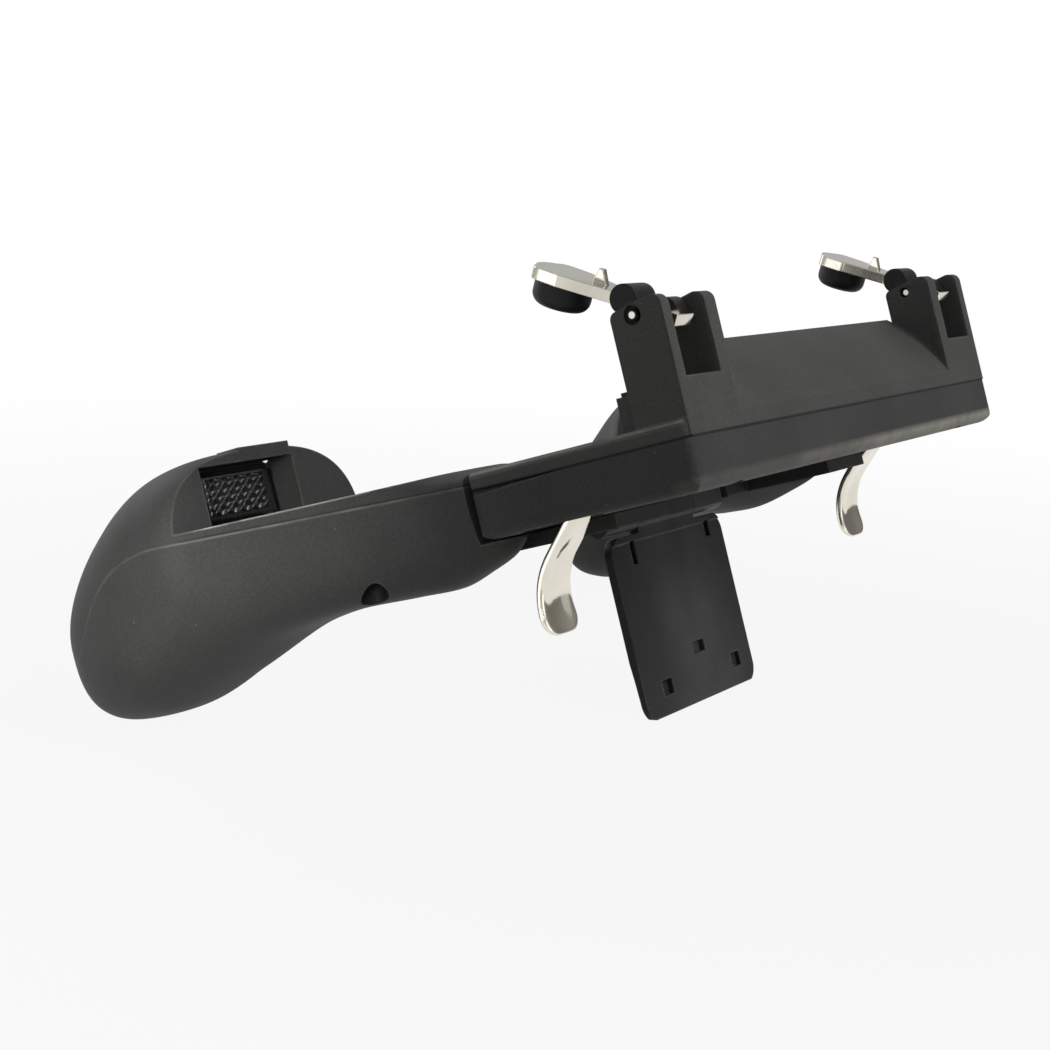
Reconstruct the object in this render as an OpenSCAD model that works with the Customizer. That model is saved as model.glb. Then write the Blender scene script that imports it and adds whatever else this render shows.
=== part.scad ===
// Mobile game controller: a low body that clamps a phone between two sliding grips,
// with two finger triggers that tip touch levers down onto the screen, on a fold-out stand.
// Millimetres. Every piece is drawn with the phone deck level, x to the right, y from the
// rear face towards the player, z up from the body's seam, and then set down on its feet.

/* [Body] */
// Width of the body over the two lever posts
body_w = 120; // [114:1:130]
// Depth of the body from its rear face to the player's side
body_d = 38; // [37:0.5:42]
// Height of the lower shell below the seam
lower_h = 7.8; // [7.6:0.1:9]
// Thickness of the upper plate above the seam
upper_h = 2.6; // [2.2:0.1:3.4]
// Radius of the body's upright corners
corner_r = 1.8; // [1:0.2:3]
// Rounding of the lower shell's bottom edges
edge_r = 2.4; // [1.5:0.1:2.8]
// Chamfer of the upper plate's top edge
plate_chamfer = 0.9; // [0.5:0.1:1.1]
// Widest opening of the seam, at the player's end of each side
seam_gap = 0.9; // [0.4:0.1:1.2]

/* [Posts and hood] */
// Width of a lever post
post_w = 17.5; // [16.5:0.5:20]
// Thickness of each cheek of a post
cheek_t = 3.4; // [2.8:0.1:3.8]
// Depth of the cheeks, from the rear face
cheek_d = 8.4; // [8.2:0.1:9]
// Height of the cheeks above the seam
cheek_h = 20.4; // [20:0.1:22]
// Height of the slot's floor between the cheeks
slot_z = 8.4; // [7.5:0.1:9.5]
// Depth of the post's base, which the phone's edge meets
base_d = 11.2; // [11:0.1:13]
// Height of the post's base above the seam
base_h = 7.7; // [7:0.1:8.2]
// How far the base's outer side stands in from the body's side
base_inset = 2.4; // [1.5:0.1:3]
// Height of the hood between the posts
hood_h = 14.4; // [12:0.2:16]
// How far the hood's slope bulges out
hood_bulge = 0.9; // [0.4:0.1:1.6]
// Wall of the hood
hood_wall = 2; // [1.6:0.1:2.6]

/* [Touch levers] */
// Lever axis, from the rear face
pivot_y = 4.8; // [4.6:0.1:5]
// Lever axis, below the top of the cheeks
pivot_drop = 2.1; // [1.9:0.1:2.4]
// Radius of the lever's pin
lever_pin_r = 0.9; // [0.8:0.05:1]
// Angle at which a lever stands up at rest
lever_rise = 32; // [30:1:36]
// Length of the lever from its axis to its tip
lever_len = 19.8; // [19.4:0.2:22]
// Width of the lever's paddle
paddle_w = 9.6; // [8.5:0.1:10]
// Width of the lever's neck
neck_w = 5; // [4.6:0.1:6]
// Thickness of the lever
lever_t = 1.8; // [1.5:0.1:2]
// Radius of the lever's hub
hub_r = 2.2; // [2:0.1:2.4]
// Radius at which the pull link hangs on the hub
crank_r = 2.6; // [2.5:0.1:2.7]
// Diameter of the touch pad
pad_d = 8.8; // [8:0.1:9]
// Height of the touch pad
pad_h = 3.7; // [3:0.1:4.2]
// Distance of the touch pad's centre from the lever's axis
pad_at = 16; // [15.6:0.1:16.2]

/* [Triggers] */
// Trigger axis, from the rear face
trigger_y = 19.2; // [18.8:0.1:19.6]
// Trigger axis, above the seam
trigger_z = -3.4; // [-3.5:0.1:-3.3]
// Radius of the trigger's pin
trigger_pin_r = 1.2; // [1:0.05:1.3]
// Radius of the trigger's hub
trigger_hub_r = 2.7; // [2.4:0.1:2.8]
// Width of the trigger's blade
trigger_w = 7.2; // [6:0.1:7.4]
// How far the blade stands outside the lever's middle
blade_out = 3.5; // [3:0.1:3.6]
// Thickness of the trigger's blade
trigger_t = 2.4; // [2:0.1:2.8]
// Length of the trigger's straight stem
stem_len = 12; // [11:0.1:13]
// Slope of the stem below level
stem_slope = 45; // [42:1:48]
// Radius of the finger curve
finger_r = 11; // [10:0.2:12]
// Angle that the finger curve turns through
finger_turn = 66; // [60:1:72]
// Depth of the scoop along the blade
scoop = 0.7; // [0.3:0.1:0.9]
// Radius of the cross pins that the pull link hangs on
cross_r = 0.7; // [0.6:0.05:0.75]
// Radial play of the pull link on its cross pins
link_play = 0.3; // [0.25:0.05:0.35]
// Thickness of the pull link
link_t = 2.4; // [2:0.1:2.6]

/* [Grips] */
// Gap between the body and the grips when they are pushed in
grip_gap = 0.8; // [0.5:0.1:1.2]
// Travel of the grips
grip_travel = 24; // [18:0.5:24]
// Distance of the jaw from the body when the grips are pushed in
jaw_out = 33; // [31:0.5:36]
// Height of the deck on the grips
grip_deck = 3.6; // [3:0.1:4.2]
// Height of the top of the jaw
jaw_top = 14.4; // [13:0.2:16]
// Height of the bar over the jaw's recess, above the jaw's own top
jaw_bar = 0.5; // [0.2:0.1:1]
// Length of the lobes behind the jaw
lobe_len = 35.4; // [33:0.2:40]
// How far the lobes stand out past the body's sides
lobe_out = 30.4; // [28:0.2:34]
// Lowest point of the lobes below the seam
lobe_drop = 22.8; // [20:0.2:24]
// Height of the grips' seam where they meet the body
grip_seam = 0.9; // [0.4:0.1:1.2]
// Slope of the grips' seam
grip_seam_slope = 2.6; // [1.5:0.1:3]
// Where the seam starts to bend down, behind the jaw
seam_bend_at = 2; // [0:0.5:4]
// Radius of the seam's bend
seam_bend_r = 19.6; // [16:0.2:24]
// Slope at which the seam runs down the back of the lobe
seam_fall = 42; // [36:1:46]
// Gap in the seam between the grip shells
shell_gap = 0.12; // [0.05:0.01:0.2]
// Width of the recess in the jaw
recess_w = 22; // [18:0.2:25]
// Height of the recess above the grip's deck
recess_h = 9.1; // [8:0.1:9.4]
// Depth of the recess
recess_d = 5.5; // [4:0.1:6.5]
// Thickness of the jaw's rubber pad
jaw_pad_t = 2.8; // [1.5:0.1:3]

/* [Slide] */
// Width of the slide rail
rail_w = 12; // [10:0.2:12.4]
// Thickness of the slide rail
rail_t = 3.4; // [3:0.1:3.6]
// Distance of the rail's inner edge from the body's side
rail_inset = 28; // [27.8:0.1:28.4]
// Length of the rail inside the grip
rail_in_grip = 22; // [18:0.5:24]
// Step on the rail's rear end that stops the slide
rail_step = 3; // [2:0.1:3.2]
// Outer radius of the return spring
spring_r = 1.9; // [1.6:0.1:2]

/* [Stand] */
// Distance of the stand plate's sides from the body's ends
stand_side = 40; // [38:0.2:42]
// Thickness of the stand plate
stand_t = 1.8; // [1.6:0.1:2.2]
// Hinge axis, in front of the body
hinge_out = 3.2; // [3:0.1:4]
// Hinge axis, below the body
hinge_drop = 2.2; // [2:0.1:2.4]
// Radius of the hinge knuckles
knuckle_r = 1.9; // [1.7:0.05:2]
// Radius of the hinge pin
hinge_pin_r = 0.8; // [0.6:0.05:0.9]
// Width of the stand's own knuckle
knuckle_w = 20; // [14:0.5:26]
// Angle at which the controller stands
tilt = 20; // [18:0.2:21]

/* [Clearances] */
// Running clearance of pins in their bores
running = 0.05; // [0.03:0.01:0.08]
// Play between pieces that slide past each other
play = 0.3; // [0.2:0.05:0.4]

/* [Hidden] */
$fn = 48;

LEFT = -1;
RIGHT = 1;
big = 400;
plastic = [0.16, 0.16, 0.165];
dark_plastic = [0.1, 0.1, 0.105];
rubber = [0.06, 0.06, 0.065];
chrome = [0.78, 0.77, 0.74];
steel = [0.6, 0.61, 0.62];

half_w = body_w / 2;
stand_w = body_w - 2 * stand_side;
lever_x = half_w - post_w / 2;
slot_w = post_w - 2 * cheek_t;
post_in = half_w - post_w;
hub_w = slot_w - 2 * play;
pivot_z = cheek_h - pivot_drop;

// The pull link hangs straight below the lever's crank when that stands level.
link_y = pivot_y + crank_r - 0.08;
arm_r = trigger_y - link_y;
crank_rest = 20;
link_lift = crank_r * sin(crank_rest);
arm_rest = asin(link_lift / arm_r);
eye_r = cross_r + link_play;
eye_wall = 0.6;
eye_out = eye_r + eye_wall;
link_top = pivot_z + link_lift;
link_low = trigger_z + link_lift;
fork_w = link_t + 2 * play;
prong_t = 2;
bay_floor = -lower_h + 1.1;
arm_in = lever_x - fork_w / 2 - prong_t;
blade_x = lever_x + blade_out;
blade_edge = blade_x + trigger_w / 2;
rail_x = half_w - rail_inset;
pin_in = rail_x + rail_w + 1.8;
pin_out = half_w - 0.8;

finger_y = trigger_y + stem_len * cos(stem_slope) - finger_r * sin(stem_slope);
finger_z = trigger_z - stem_len * sin(stem_slope) - finger_r * cos(stem_slope);

grip_y = body_d + grip_gap;
jaw_y = body_d + jaw_out;
lobe_end = jaw_y + lobe_len;
neck_len = jaw_y - grip_y;
under_z = -lower_h - play;
rail_mid = trigger_z - 0.9;
rail_out = rail_x + rail_w;
front_wall = 2;
rail_rear = body_d - front_wall - play - grip_travel;
rail_head = 2.4;
spring_x = rail_x - rail_step - spring_r - 1.2;
spring_wire = 0.35;
spring_from = 9;
recess_x = half_w + 0.27 * lobe_out;

hinge_y = body_d + hinge_out;
hinge_z = -lower_h - hinge_drop;
stand_back = hinge_y - 1.2;
// The knuckles have a flat face to the rear that ends this far below the axis.
brow = 0.55 * knuckle_r;
stand_top = hinge_z - norm([knuckle_r, brow]) - play;

// Smooth curve through a list of stations: v holds one column, u counts stations.
function at(v, i) = v[max(0, min(len(v) - 1, i))];
function smooth(v, u) =
    let (i = floor(u), t = u - i, a = at(v, i - 1), b = at(v, i), c = at(v, i + 1), d = at(v, i + 2))
    b + t / 2 * (c - a + t * (2 * a - 5 * b + 4 * c - d + t * (3 * (b - c) + d - a)));
function signed_power(v, p) = sign(v) * pow(abs(v), p);

// Stations of a grip: distance from the rear face, inner side, keel and outer side across,
// then top, bottom and widest height.
grip_nose = body_d - 4.4;
function out(k) = half_w + k * lobe_out;
function along(k) = grip_y + k * neck_len;
function behind(k) = jaw_y + k * lobe_len;
grip_stations = [
    [grip_nose, out(-0.4), out(-0.2), out(-0.1), 0.14 * jaw_top, under_z - 0.5, 1],
    [grip_nose + 2.4, out(-0.53), out(-0.2), out(-0.026), 0.17 * jaw_top, under_z - 2.6, 1],
    [along(0.068), rail_x - 2.4, out(-0.217), half_w, 0.21 * jaw_top, -0.544 * lobe_drop, 0.9],
    [along(0.28), rail_x - 2.4, out(-0.263), out(0.04), 0.32 * jaw_top, -0.614 * lobe_drop, 0.8],
    [along(0.503), rail_x - 0.5, out(-0.23), out(0.23), 0.55 * jaw_top, -0.61 * lobe_drop, 0.7],
    [along(0.752), out(-0.74), out(-0.033), out(0.579), 0.82 * jaw_top, -0.596 * lobe_drop, 0.4],
    [jaw_y, out(-0.553), out(0.197), out(0.921), jaw_top, -0.658 * lobe_drop, 0],
    [behind(0.226), out(-0.263), out(0.362), out(1), 0.985 * jaw_top, -0.84 * lobe_drop, -2],
    [behind(0.424), out(-0.066), out(0.428), out(1), 0.815 * jaw_top, -0.975 * lobe_drop, -4.4],
    [behind(0.622), out(0.046), out(0.46), out(0.934), 0.485 * jaw_top, -lobe_drop, -6.8],
    [behind(0.791), out(0.145), out(0.46), out(0.83), 0.07 * jaw_top, -0.965 * lobe_drop, -9],
    [behind(0.932), out(0.25), out(0.445), out(0.655), -0.375 * jaw_top, -0.845 * lobe_drop, -10.8],
    [lobe_end, out(0.382), out(0.41), out(0.445), -0.75 * jaw_top, -0.56 * lobe_drop, -11.6]
];
ring_count = 34;
ring_points = 36;
low_power = 0.78;
arch_power = 0.74;
function column(i) = [for (s = grip_stations) s[i]];
function grip_ring(u) = [
    let (
        y = smooth(column(0), u),
        x_in = smooth(column(1), u),
        keel = smooth(column(2), u),
        x_out = smooth(column(3), u),
        top = smooth(column(4), u),
        low = smooth(column(5), u),
        mid = smooth(column(6), u),
        top_power = arch_power + (1 - arch_power) * max(0, min(1, (y - jaw_y) / 18)),
        inner_power = low_power + 0.8 * max(0, min(1, (jaw_y - 4 - y) / 22))
    )
    for (k = [0 : ring_points - 1])
    let (
        a = 360 * (k + 0.5) / ring_points,
        power = sin(a) > 0 ? top_power : cos(a) > 0 ? low_power : inner_power,
        s = signed_power(sin(a), power)
    )
    [
        keel + (cos(a) > 0 ? x_out - keel : keel - x_in) * signed_power(cos(a), power),
        y,
        mid + s * (s > 0 ? top - mid : mid - low)
    ]
];

// The floor under the feet: the lobes' lowest point against a plane at the standing angle.
last_station = len(grip_stations) - 1;
function depth_below(p) = p[1] * sin(tilt) - p[2] * cos(tilt);
floor_depth = max([for (i = [0 : 4 * last_station]) max([for (p = grip_ring(i / 4)) depth_below(p)])]);
foot_y = stand_back + 0.6;
foot_z = (foot_y * sin(tilt) - floor_depth) / cos(tilt);
echo(stand_height = foot_z, standing_point = foot_y);

module placed() {
    rotate([-tilt, 0, 0]) translate([0, -foot_y, -foot_z]) children();
}

module on_side(side) {
    mirror([side < 0 ? 1 : 0, 0, 0]) children();
}

// A rod along x, centred on x.
module rod(x, y, z, r, w) {
    translate([x - w / 2, y, z]) rotate([0, 90, 0]) cylinder(r = r, h = w);
}

// A box from its lowest to its highest corner.
module block(low, high) {
    translate(low) cube(high - low);
}

// A side view, drawn with y across and z up, thick along x and centred on x.
module side_view(x, w) {
    translate([x - w / 2, 0, 0]) rotate([90, 0, 90]) linear_extrude(w) children();
}

module rounded_square(low, high, r) {
    translate([low[0] + r, low[1]]) square([high[0] - low[0] - 2 * r, high[1] - low[1]]);
    translate([low[0], low[1] + r]) square([high[0] - low[0], high[1] - low[1] - 2 * r]);
    for (x = [low[0] + r, high[0] - r], y = [low[1] + r, high[1] - r]) translate([x, y]) circle(r);
}

// Tube of one round wire along a list of points, closed at both ends.
function unit(v) = v / norm(v);
function wire_ring(path, i, r, sides) =
    let (
        t = unit(path[min(i + 1, len(path) - 1)] - path[max(i - 1, 0)]),
        helper = abs(t[0]) < 0.9 ? [1, 0, 0] : [0, 0, 1],
        n = unit(cross(t, helper)),
        b = cross(n, t)
    )
    [for (k = [0 : sides - 1]) path[i] + r * (cos(360 * k / sides) * n + sin(360 * k / sides) * b)];

module loft(rings) {
    m = len(rings[0]);
    n = len(rings);
    points = [for (ring = rings) each ring];
    walls = [
        for (i = [0 : n - 2], k = [0 : m - 1])
        let (a = i * m + k, b = i * m + (k + 1) % m)
        each [[a, b, b + m], [a, b + m, a + m]]
    ];
    caps = [[for (k = [m - 1 : -1 : 0]) k], [for (k = [0 : m - 1]) (n - 1) * m + k]];
    polyhedron(points, concat(walls, caps), convexity = 6);
}

module wire(path, r, sides = 6) {
    loft([for (i = [0 : len(path) - 1]) wire_ring(path, i, r, sides)]);
}

function coil(turns, r, pitch, steps = 8) =
    [for (i = [0 : turns * steps]) let (a = 360 * i / steps) [pitch * i / steps, r * cos(a), r * sin(a)]];

// Body shells

module body_plan(r, inset = 0) {
    rounded_square([-half_w + inset, inset], [half_w - inset, body_d - inset], r);
}

screw_r = 1.1;
screw_head_r = 2;
screw_head_h = 1.3;
screw_margin = 1;
screw_in = edge_r + screw_margin;
screw_mid = stand_w / 2 - screw_head_r;
screw_places = [
    [screw_mid, base_d + screw_head_r + screw_margin], [screw_mid, body_d - front_wall - screw_in],
    [post_in + screw_head_r + 0.5 * screw_margin, screw_in],
    [half_w - screw_in - screw_head_r, body_d - screw_in]
];

module body_lower_shell() {
    color(plastic) placed() difference() {
        intersection() {
            translate([0, 0, -lower_h]) linear_extrude(lower_h) body_plan(corner_r);
            side_view(0, body_w) union() {
                rounded_square([0, -lower_h], [body_d, lower_h], edge_r);
            }
            translate([0, body_d, 0]) rotate([90, 0, 0]) linear_extrude(body_d)
                rounded_square([-half_w, -lower_h], [half_w, lower_h], edge_r);
        }
        for (side = [LEFT, RIGHT]) on_side(side) {
            trigger_bay();
            slide_channel();
            seam_wedge();
            trigger_pin_form();
            for (p = screw_places) translate([p[0], p[1], -lower_h - 1]) {
                cylinder(r = screw_r + 0.1, h = big);
                cylinder(r = screw_head_r + 0.15, h = 1 + screw_head_h + 0.3);
            }
        }
    }
}

module trigger_pin_form() {
    rod((pin_in + pin_out) / 2, trigger_y, trigger_z, trigger_pin_r, pin_out - pin_in);
}

// Room for the trigger's arm and hub, open below where the stem comes out.
module trigger_bay() {
    arm_out = lever_x + fork_w / 2 + prong_t + play;
    end = trigger_y + stem_len;
    block([arm_in - play, link_y - eye_out - 0.9, bay_floor], [arm_out, trigger_y, 1]);
    block([arm_in - play, trigger_y - 3.6, bay_floor], [blade_edge + play, end, 1]);
    block([blade_x - trigger_w / 2 - play, trigger_y - 2, -lower_h - 1], [blade_edge + play, end, 0]);
}

// Channel that the rail runs in, with a wall that stops the rail's step.
module slide_channel() {
    low = rail_mid - rail_t / 2 - play;
    block([rail_x - play, rail_rear - 3, low], [rail_out + play, body_d + 1, 1]);
    block([rail_x - rail_step - play, rail_rear - 3, low], [rail_out, body_d - front_wall, 1]);
    translate([spring_x, spring_from - 1, rail_mid]) rotate([-90, 0, 0])
        cylinder(r = spring_r + play, h = big);
}

// The seam opens towards the player's end of each side.
module seam_wedge() {
    wedge_len = 18;
    side_view(half_w, 2.4) polygon([[body_d - wedge_len, 0.01], [body_d + 1, -seam_gap], [body_d + 1, 1]]);
}

module body_upper_shell() {
    color(plastic) placed() difference() {
        union() {
            intersection() {
                linear_extrude(upper_h) body_plan(corner_r);
                side_view(0, body_w) chamfered(0, body_d);
                translate([0, body_d, 0]) rotate([90, 0, 0])
                    linear_extrude(body_d) chamfered(-half_w, half_w);
            }
            side_view(0, body_w - 2 * post_w + 2) hood_profile(0);
            for (side = [LEFT, RIGHT]) on_side(side) post();
        }
        translate([0, 0, -0.01]) side_view(0, body_w - 2 * post_w - 2 * hood_wall) hood_profile(hood_wall);
        for (side = [LEFT, RIGHT]) on_side(side) {
            rod(lever_x, pivot_y, pivot_z, lever_pin_r, big);
            rod(half_w, pivot_y, pivot_z, lever_pin_r + 0.5, 2 * plate_chamfer + 1.6);
            link_passage();
            for (p = screw_places) translate([p[0], p[1], -1]) cylinder(r = screw_r, h = upper_h);
        }
    }
}

module chamfered(from, to) {
    polygon([
        [from, 0], [to, 0], [to, upper_h - plate_chamfer], [to - plate_chamfer, upper_h],
        [from + plate_chamfer, upper_h], [from, upper_h - plate_chamfer]
    ]);
}

// The hood: a slope that bulges a little, from the rear edge up to a wall facing the phone.
module hood_profile(inset) {
    top_y = base_d - 1.6;
    rise = hood_h - upper_h;
    chord = norm([top_y, rise]);
    r = (chord * chord / 4 + hood_bulge * hood_bulge) / (2 * hood_bulge);
    middle = [top_y / 2, upper_h + rise / 2];
    across = [rise, -top_y] / chord;
    centre = middle + (r - hood_bulge) * across;
    intersection() {
        translate(centre) circle(r - inset, $fn = 120);
        translate([0, inset > 0 ? -1 : 0]) square([base_d - inset, hood_h - inset + (inset > 0 ? 1 : 0)]);
    }
}

// A post: two cheeks with a slot between, open to the rear, on a deeper base.
module post() {
    difference() {
        union() {
            block([post_in, 0, 0], [half_w - base_inset, base_d, base_h]);
            side_view(lever_x - plate_chamfer / 2, post_w - plate_chamfer) cheek_profile();
        }
        block([lever_x - slot_w / 2, -1, slot_z], [lever_x + slot_w / 2, base_d + 1, big]);
    }
}

module cheek_profile() {
    rear_r = 1.6;
    front_r = 1.2;
    front_h = cheek_h - 1;
    polygon([
        [0, 0], [cheek_d, 0], [cheek_d, front_h - front_r], [cheek_d - front_r, front_h - front_r],
        [rear_r, cheek_h - rear_r], [0, cheek_h - rear_r]
    ]);
    polygon([
        [rear_r, cheek_h - rear_r - 1], [cheek_d - front_r, front_h - front_r - 1],
        [cheek_d - front_r + 0.14, front_h], [rear_r + 0.2, cheek_h - 0.02]
    ]);
    translate([rear_r, cheek_h - rear_r]) circle(rear_r);
    translate([cheek_d - front_r, front_h - front_r]) circle(front_r);
}

module link_passage() {
    reach = eye_out + 0.55;
    block([lever_x - fork_w / 2, link_y - reach, -1],
          [lever_x + fork_w / 2, link_y + reach - 0.2, slot_z + 1]);
}

module screw_set(places, z, len) {
    for (p = places) translate([p[0], p[1], z]) {
        cylinder(r = screw_r, h = len);
        difference() {
            cylinder(r = screw_head_r, h = screw_head_h);
            translate([0, 0, -1]) cylinder(r = 0.9, h = 1.7, $fn = 6);
        }
    }
}

module body_screws() {
    color(steel) placed() for (side = [LEFT, RIGHT]) on_side(side)
        screw_set(screw_places, -lower_h + 0.3, lower_h + upper_h - 1.6);
}

// Stand

stand_knuckle_gap = 0.2;
bracket_w = stand_w + 2;
bracket_t = 1.2;

module stand_bracket() {
    color(dark_plastic) placed() difference() {
        union() {
            for (side = [LEFT, RIGHT]) on_side(side) {
                x_from = knuckle_w / 2 + stand_knuckle_gap;
                block([x_from, hinge_y - knuckle_r, hinge_z - brow], [bracket_w / 2, hinge_y, -lower_h]);
                block([x_from, hinge_y - 1, hinge_z], [bracket_w / 2, hinge_y + knuckle_r, -lower_h]);
                rod((x_from + bracket_w / 2) / 2, hinge_y, hinge_z, knuckle_r, bracket_w / 2 - x_from);
                block([x_from, body_d + 0.01, -lower_h],
                      [bracket_w / 2, hinge_y + knuckle_r, -lower_h + 3.6]);
            }
            block([-bracket_w / 2, body_d, -lower_h + 2.4],
                  [bracket_w / 2, hinge_y + knuckle_r, -lower_h + 3.6]);
        }
        rod(0, hinge_y, hinge_z, hinge_pin_r, bracket_w - 2.4);
    }
}

module stand_hinge_pin() {
    color(steel) placed() rod(0, hinge_y, hinge_z, hinge_pin_r, bracket_w - 2.4);
}

hole_w = 3.4;
hole_h = 2.6;
hole_in = 7.2;
hole_up = 4.4;
hole_shift = 0.9;
rim_w = 1.2;
panel_d = 0.3;

module stand_plate() {
    low = foot_z;
    corner = 3.2;
    color(dark_plastic) placed() difference() {
        union() {
            intersection() {
                side_view(0, stand_w) stand_profile();
                translate([0, stand_back + stand_t + 1, 0]) rotate([90, 0, 0]) linear_extrude(stand_t + 2)
                    rounded_square([-stand_w / 2, low - 0.3], [stand_w / 2, stand_top], corner);
            }
            rod(0, hinge_y, hinge_z, knuckle_r, knuckle_w);
            block([-knuckle_w / 2, hinge_y - knuckle_r, hinge_z - brow],
                  [knuckle_w / 2, hinge_y, hinge_z + knuckle_r]);
            block([-knuckle_w / 2, stand_back, stand_top - 1],
                  [knuckle_w / 2, stand_back + stand_t, hinge_z]);
        }
        rod(0, hinge_y, hinge_z, hinge_pin_r + running, knuckle_w + 1);
        block([-stand_w / 2 - 1, stand_back - 1, low - 1],
              [stand_w / 2 + 1, stand_back + panel_d, stand_top - rim_w]);
        for (x = [-1, 1])
            stand_hole(x * (stand_w / 2 - hole_in) + hole_shift, low + hole_up, hole_w, hole_h);
        stand_hole(1.6, low + hole_up + 4.6, hole_w + 0.6, hole_h - 0.6);
        stand_hole(-stand_w / 2 + hole_in, stand_top - 3, 1.6, 4);
        stand_hole(stand_w / 2 - hole_in + 1.6, stand_top - 2.4, 1.8, 2.8);
        rotate([tilt, 0, 0]) translate([-big / 2, -big / 2, foot_z * cos(tilt) - foot_y * sin(tilt) - big])
            cube(big);
    }
}

module stand_profile() {
    waist = 10;
    polygon(concat(
        [[stand_back, stand_top], [stand_back, foot_z - 3], [stand_back + 1.4, foot_z - 3]],
        [for (t = [0 : 0.125 : 1]) [stand_back + 1.4 + (stand_t - 1.4) * t * t, foot_z + waist * t]],
        [[stand_back + stand_t, stand_top]]
    ));
}

module stand_hole(x, z, w, h) {
    block([x - w / 2, stand_back - 1, z - h / 2], [x + w / 2, stand_back + stand_t - 0.5, z + h / 2]);
}

// Touch levers, drawn flat along y from their axis and then raised

module raised(side) {
    on_side(side) translate([lever_x, pivot_y, pivot_z]) rotate([lever_rise, 0, 0]) children();
}

tail_len = 4.2;
arm_lift = 0.3;
fin_at = 8.6;
fin_len = 3;
fin_h = 3;
fin_top = 0.7;

module lever_arm(side) {
    color(chrome) placed() raised(side) difference() {
        union() {
            translate([0, 0, arm_lift - lever_t / 2]) linear_extrude(lever_t) {
                translate([-neck_w / 2, -tail_len]) square([neck_w, lever_len - paddle_w / 2 + tail_len]);
                translate([0, pad_at]) circle(paddle_w / 2);
                rounded_square([-paddle_w / 2, pad_at - 2.6], [paddle_w / 2, lever_len], 1.8);
                polygon([
                    [-neck_w / 2, hub_r + 4.6], [neck_w / 2, hub_r + 4.6],
                    [paddle_w / 2, pad_at - 0.8], [-paddle_w / 2, pad_at - 0.8]
                ]);
            }
            translate([-0.5, 0, 0]) rotate([90, 0, 90]) linear_extrude(1)
                polygon([
                    [fin_at, arm_lift], [fin_at + fin_len, arm_lift],
                    [fin_at + fin_len - fin_top, arm_lift + fin_h],
                    [fin_at + fin_len - 2 * fin_top, arm_lift + fin_h]
                ]);
            translate([0, pad_at, arm_lift - lever_t / 2 - 1.2]) cylinder(r = 1.6, h = 1.4);
        }
        rod(0, 0, 0, lever_pin_r + running, big);
        link_slot();
        rotate([crank_rest - lever_rise, 0, 0]) rod(0, crank_r, 0, cross_r + running, big);
    }
}

// Room for the pull link's eye in the lever's neck.
module link_slot() {
    reach = eye_out + play;
    turn = crank_rest - lever_rise;
    translate([0, crank_r * cos(turn), 0])
        block([-fork_w / 2, -reach, -big / 2], [fork_w / 2, reach, big / 2]);
}

// The hub: two half barrels on the pin, a knob on the arm, and a fork with the cross pin
// that the pull link hangs on.
module lever_hub(side) {
    knob_at = 4.6;
    knob_r = 2.2;
    turn = crank_rest - lever_rise;
    half_barrel = hub_w / 2 - fork_w / 2 - 0.1;
    color(dark_plastic) placed() raised(side) {
        difference() {
            union() {
                for (x = [-1, 1]) rod(x * (hub_w - half_barrel) / 2, 0, 0, hub_r, half_barrel);
                difference() {
                    rod(0, knob_at, arm_lift + 0.4, knob_r, neck_w + 0.8);
                    rotate([turn, 0, 0]) rod(0, crank_r, 0, eye_out + play, fork_w);
                }
                rotate([turn, 0, 0]) for (x = [-1, 1]) translate([x * (fork_w + prong_t + 0.1) / 2, 0, 0]) {
                    rod(0, crank_r, 0, cross_r + 0.7, prong_t);
                    block([-prong_t / 2, 1.3, -1.1], [prong_t / 2, crank_r, 1.1]);
                }
            }
            rod(0, 0, 0, lever_pin_r + running, big);
            translate([-neck_w / 2, -big / 2, arm_lift - lever_t / 2]) cube([neck_w, big, lever_t]);
        }
        rotate([turn, 0, 0]) rod(0, crank_r, 0, cross_r, neck_w + 0.6);
    }
}

module touch_pad(side) {
    dome_r = pad_h / 2;
    color(rubber) placed() raised(side) translate([0, pad_at, arm_lift - lever_t / 2]) difference() {
        rotate_extrude() {
            translate([0, -pad_h + dome_r]) square([pad_d / 2, pad_h - dome_r]);
            translate([0, -pad_h]) square([pad_d / 2 - dome_r, pad_h]);
            translate([pad_d / 2 - dome_r, -pad_h + dome_r]) circle(dome_r);
        }
        translate([0, 0, -1.2 - running]) cylinder(r = 1.6 + running, h = 2);
    }
}

module lever_pin(side) {
    color(steel) placed() on_side(side)
        rod(lever_x, pivot_y, pivot_z, lever_pin_r, post_w - plate_chamfer - 0.8);
}

trigger_spring_wire = 0.3;
trigger_spring_r = trigger_pin_r + trigger_spring_wire + 0.35;

// A return spring is wound on the trigger's pin, in the gap between the two halves of the hub.
module trigger_spring(side) {
    turns = 3;
    pitch = 0.72;
    wound = [for (p = coil(turns, trigger_spring_r, pitch)) p - [turns * pitch / 2, 0, 0]];
    leg = [[turns * pitch / 2, trigger_spring_r, 2.4]];
    color(steel) placed() on_side(side)
        translate([lever_x, trigger_y, trigger_z]) wire(concat(wound, leg), trigger_spring_wire);
}

module pull_link(side) {
    color(steel) placed() on_side(side) difference() {
        union() {
            for (z = [link_low, link_top]) rod(lever_x, link_y, z, eye_out, link_t);
            block([lever_x - link_t / 2, link_y - 1.3, link_low],
                  [lever_x + link_t / 2, link_y + 1.3, link_top]);
        }
        for (z = [link_low, link_top]) rod(lever_x, link_y, z, eye_r, link_t + 2);
    }
}

// Triggers

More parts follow.
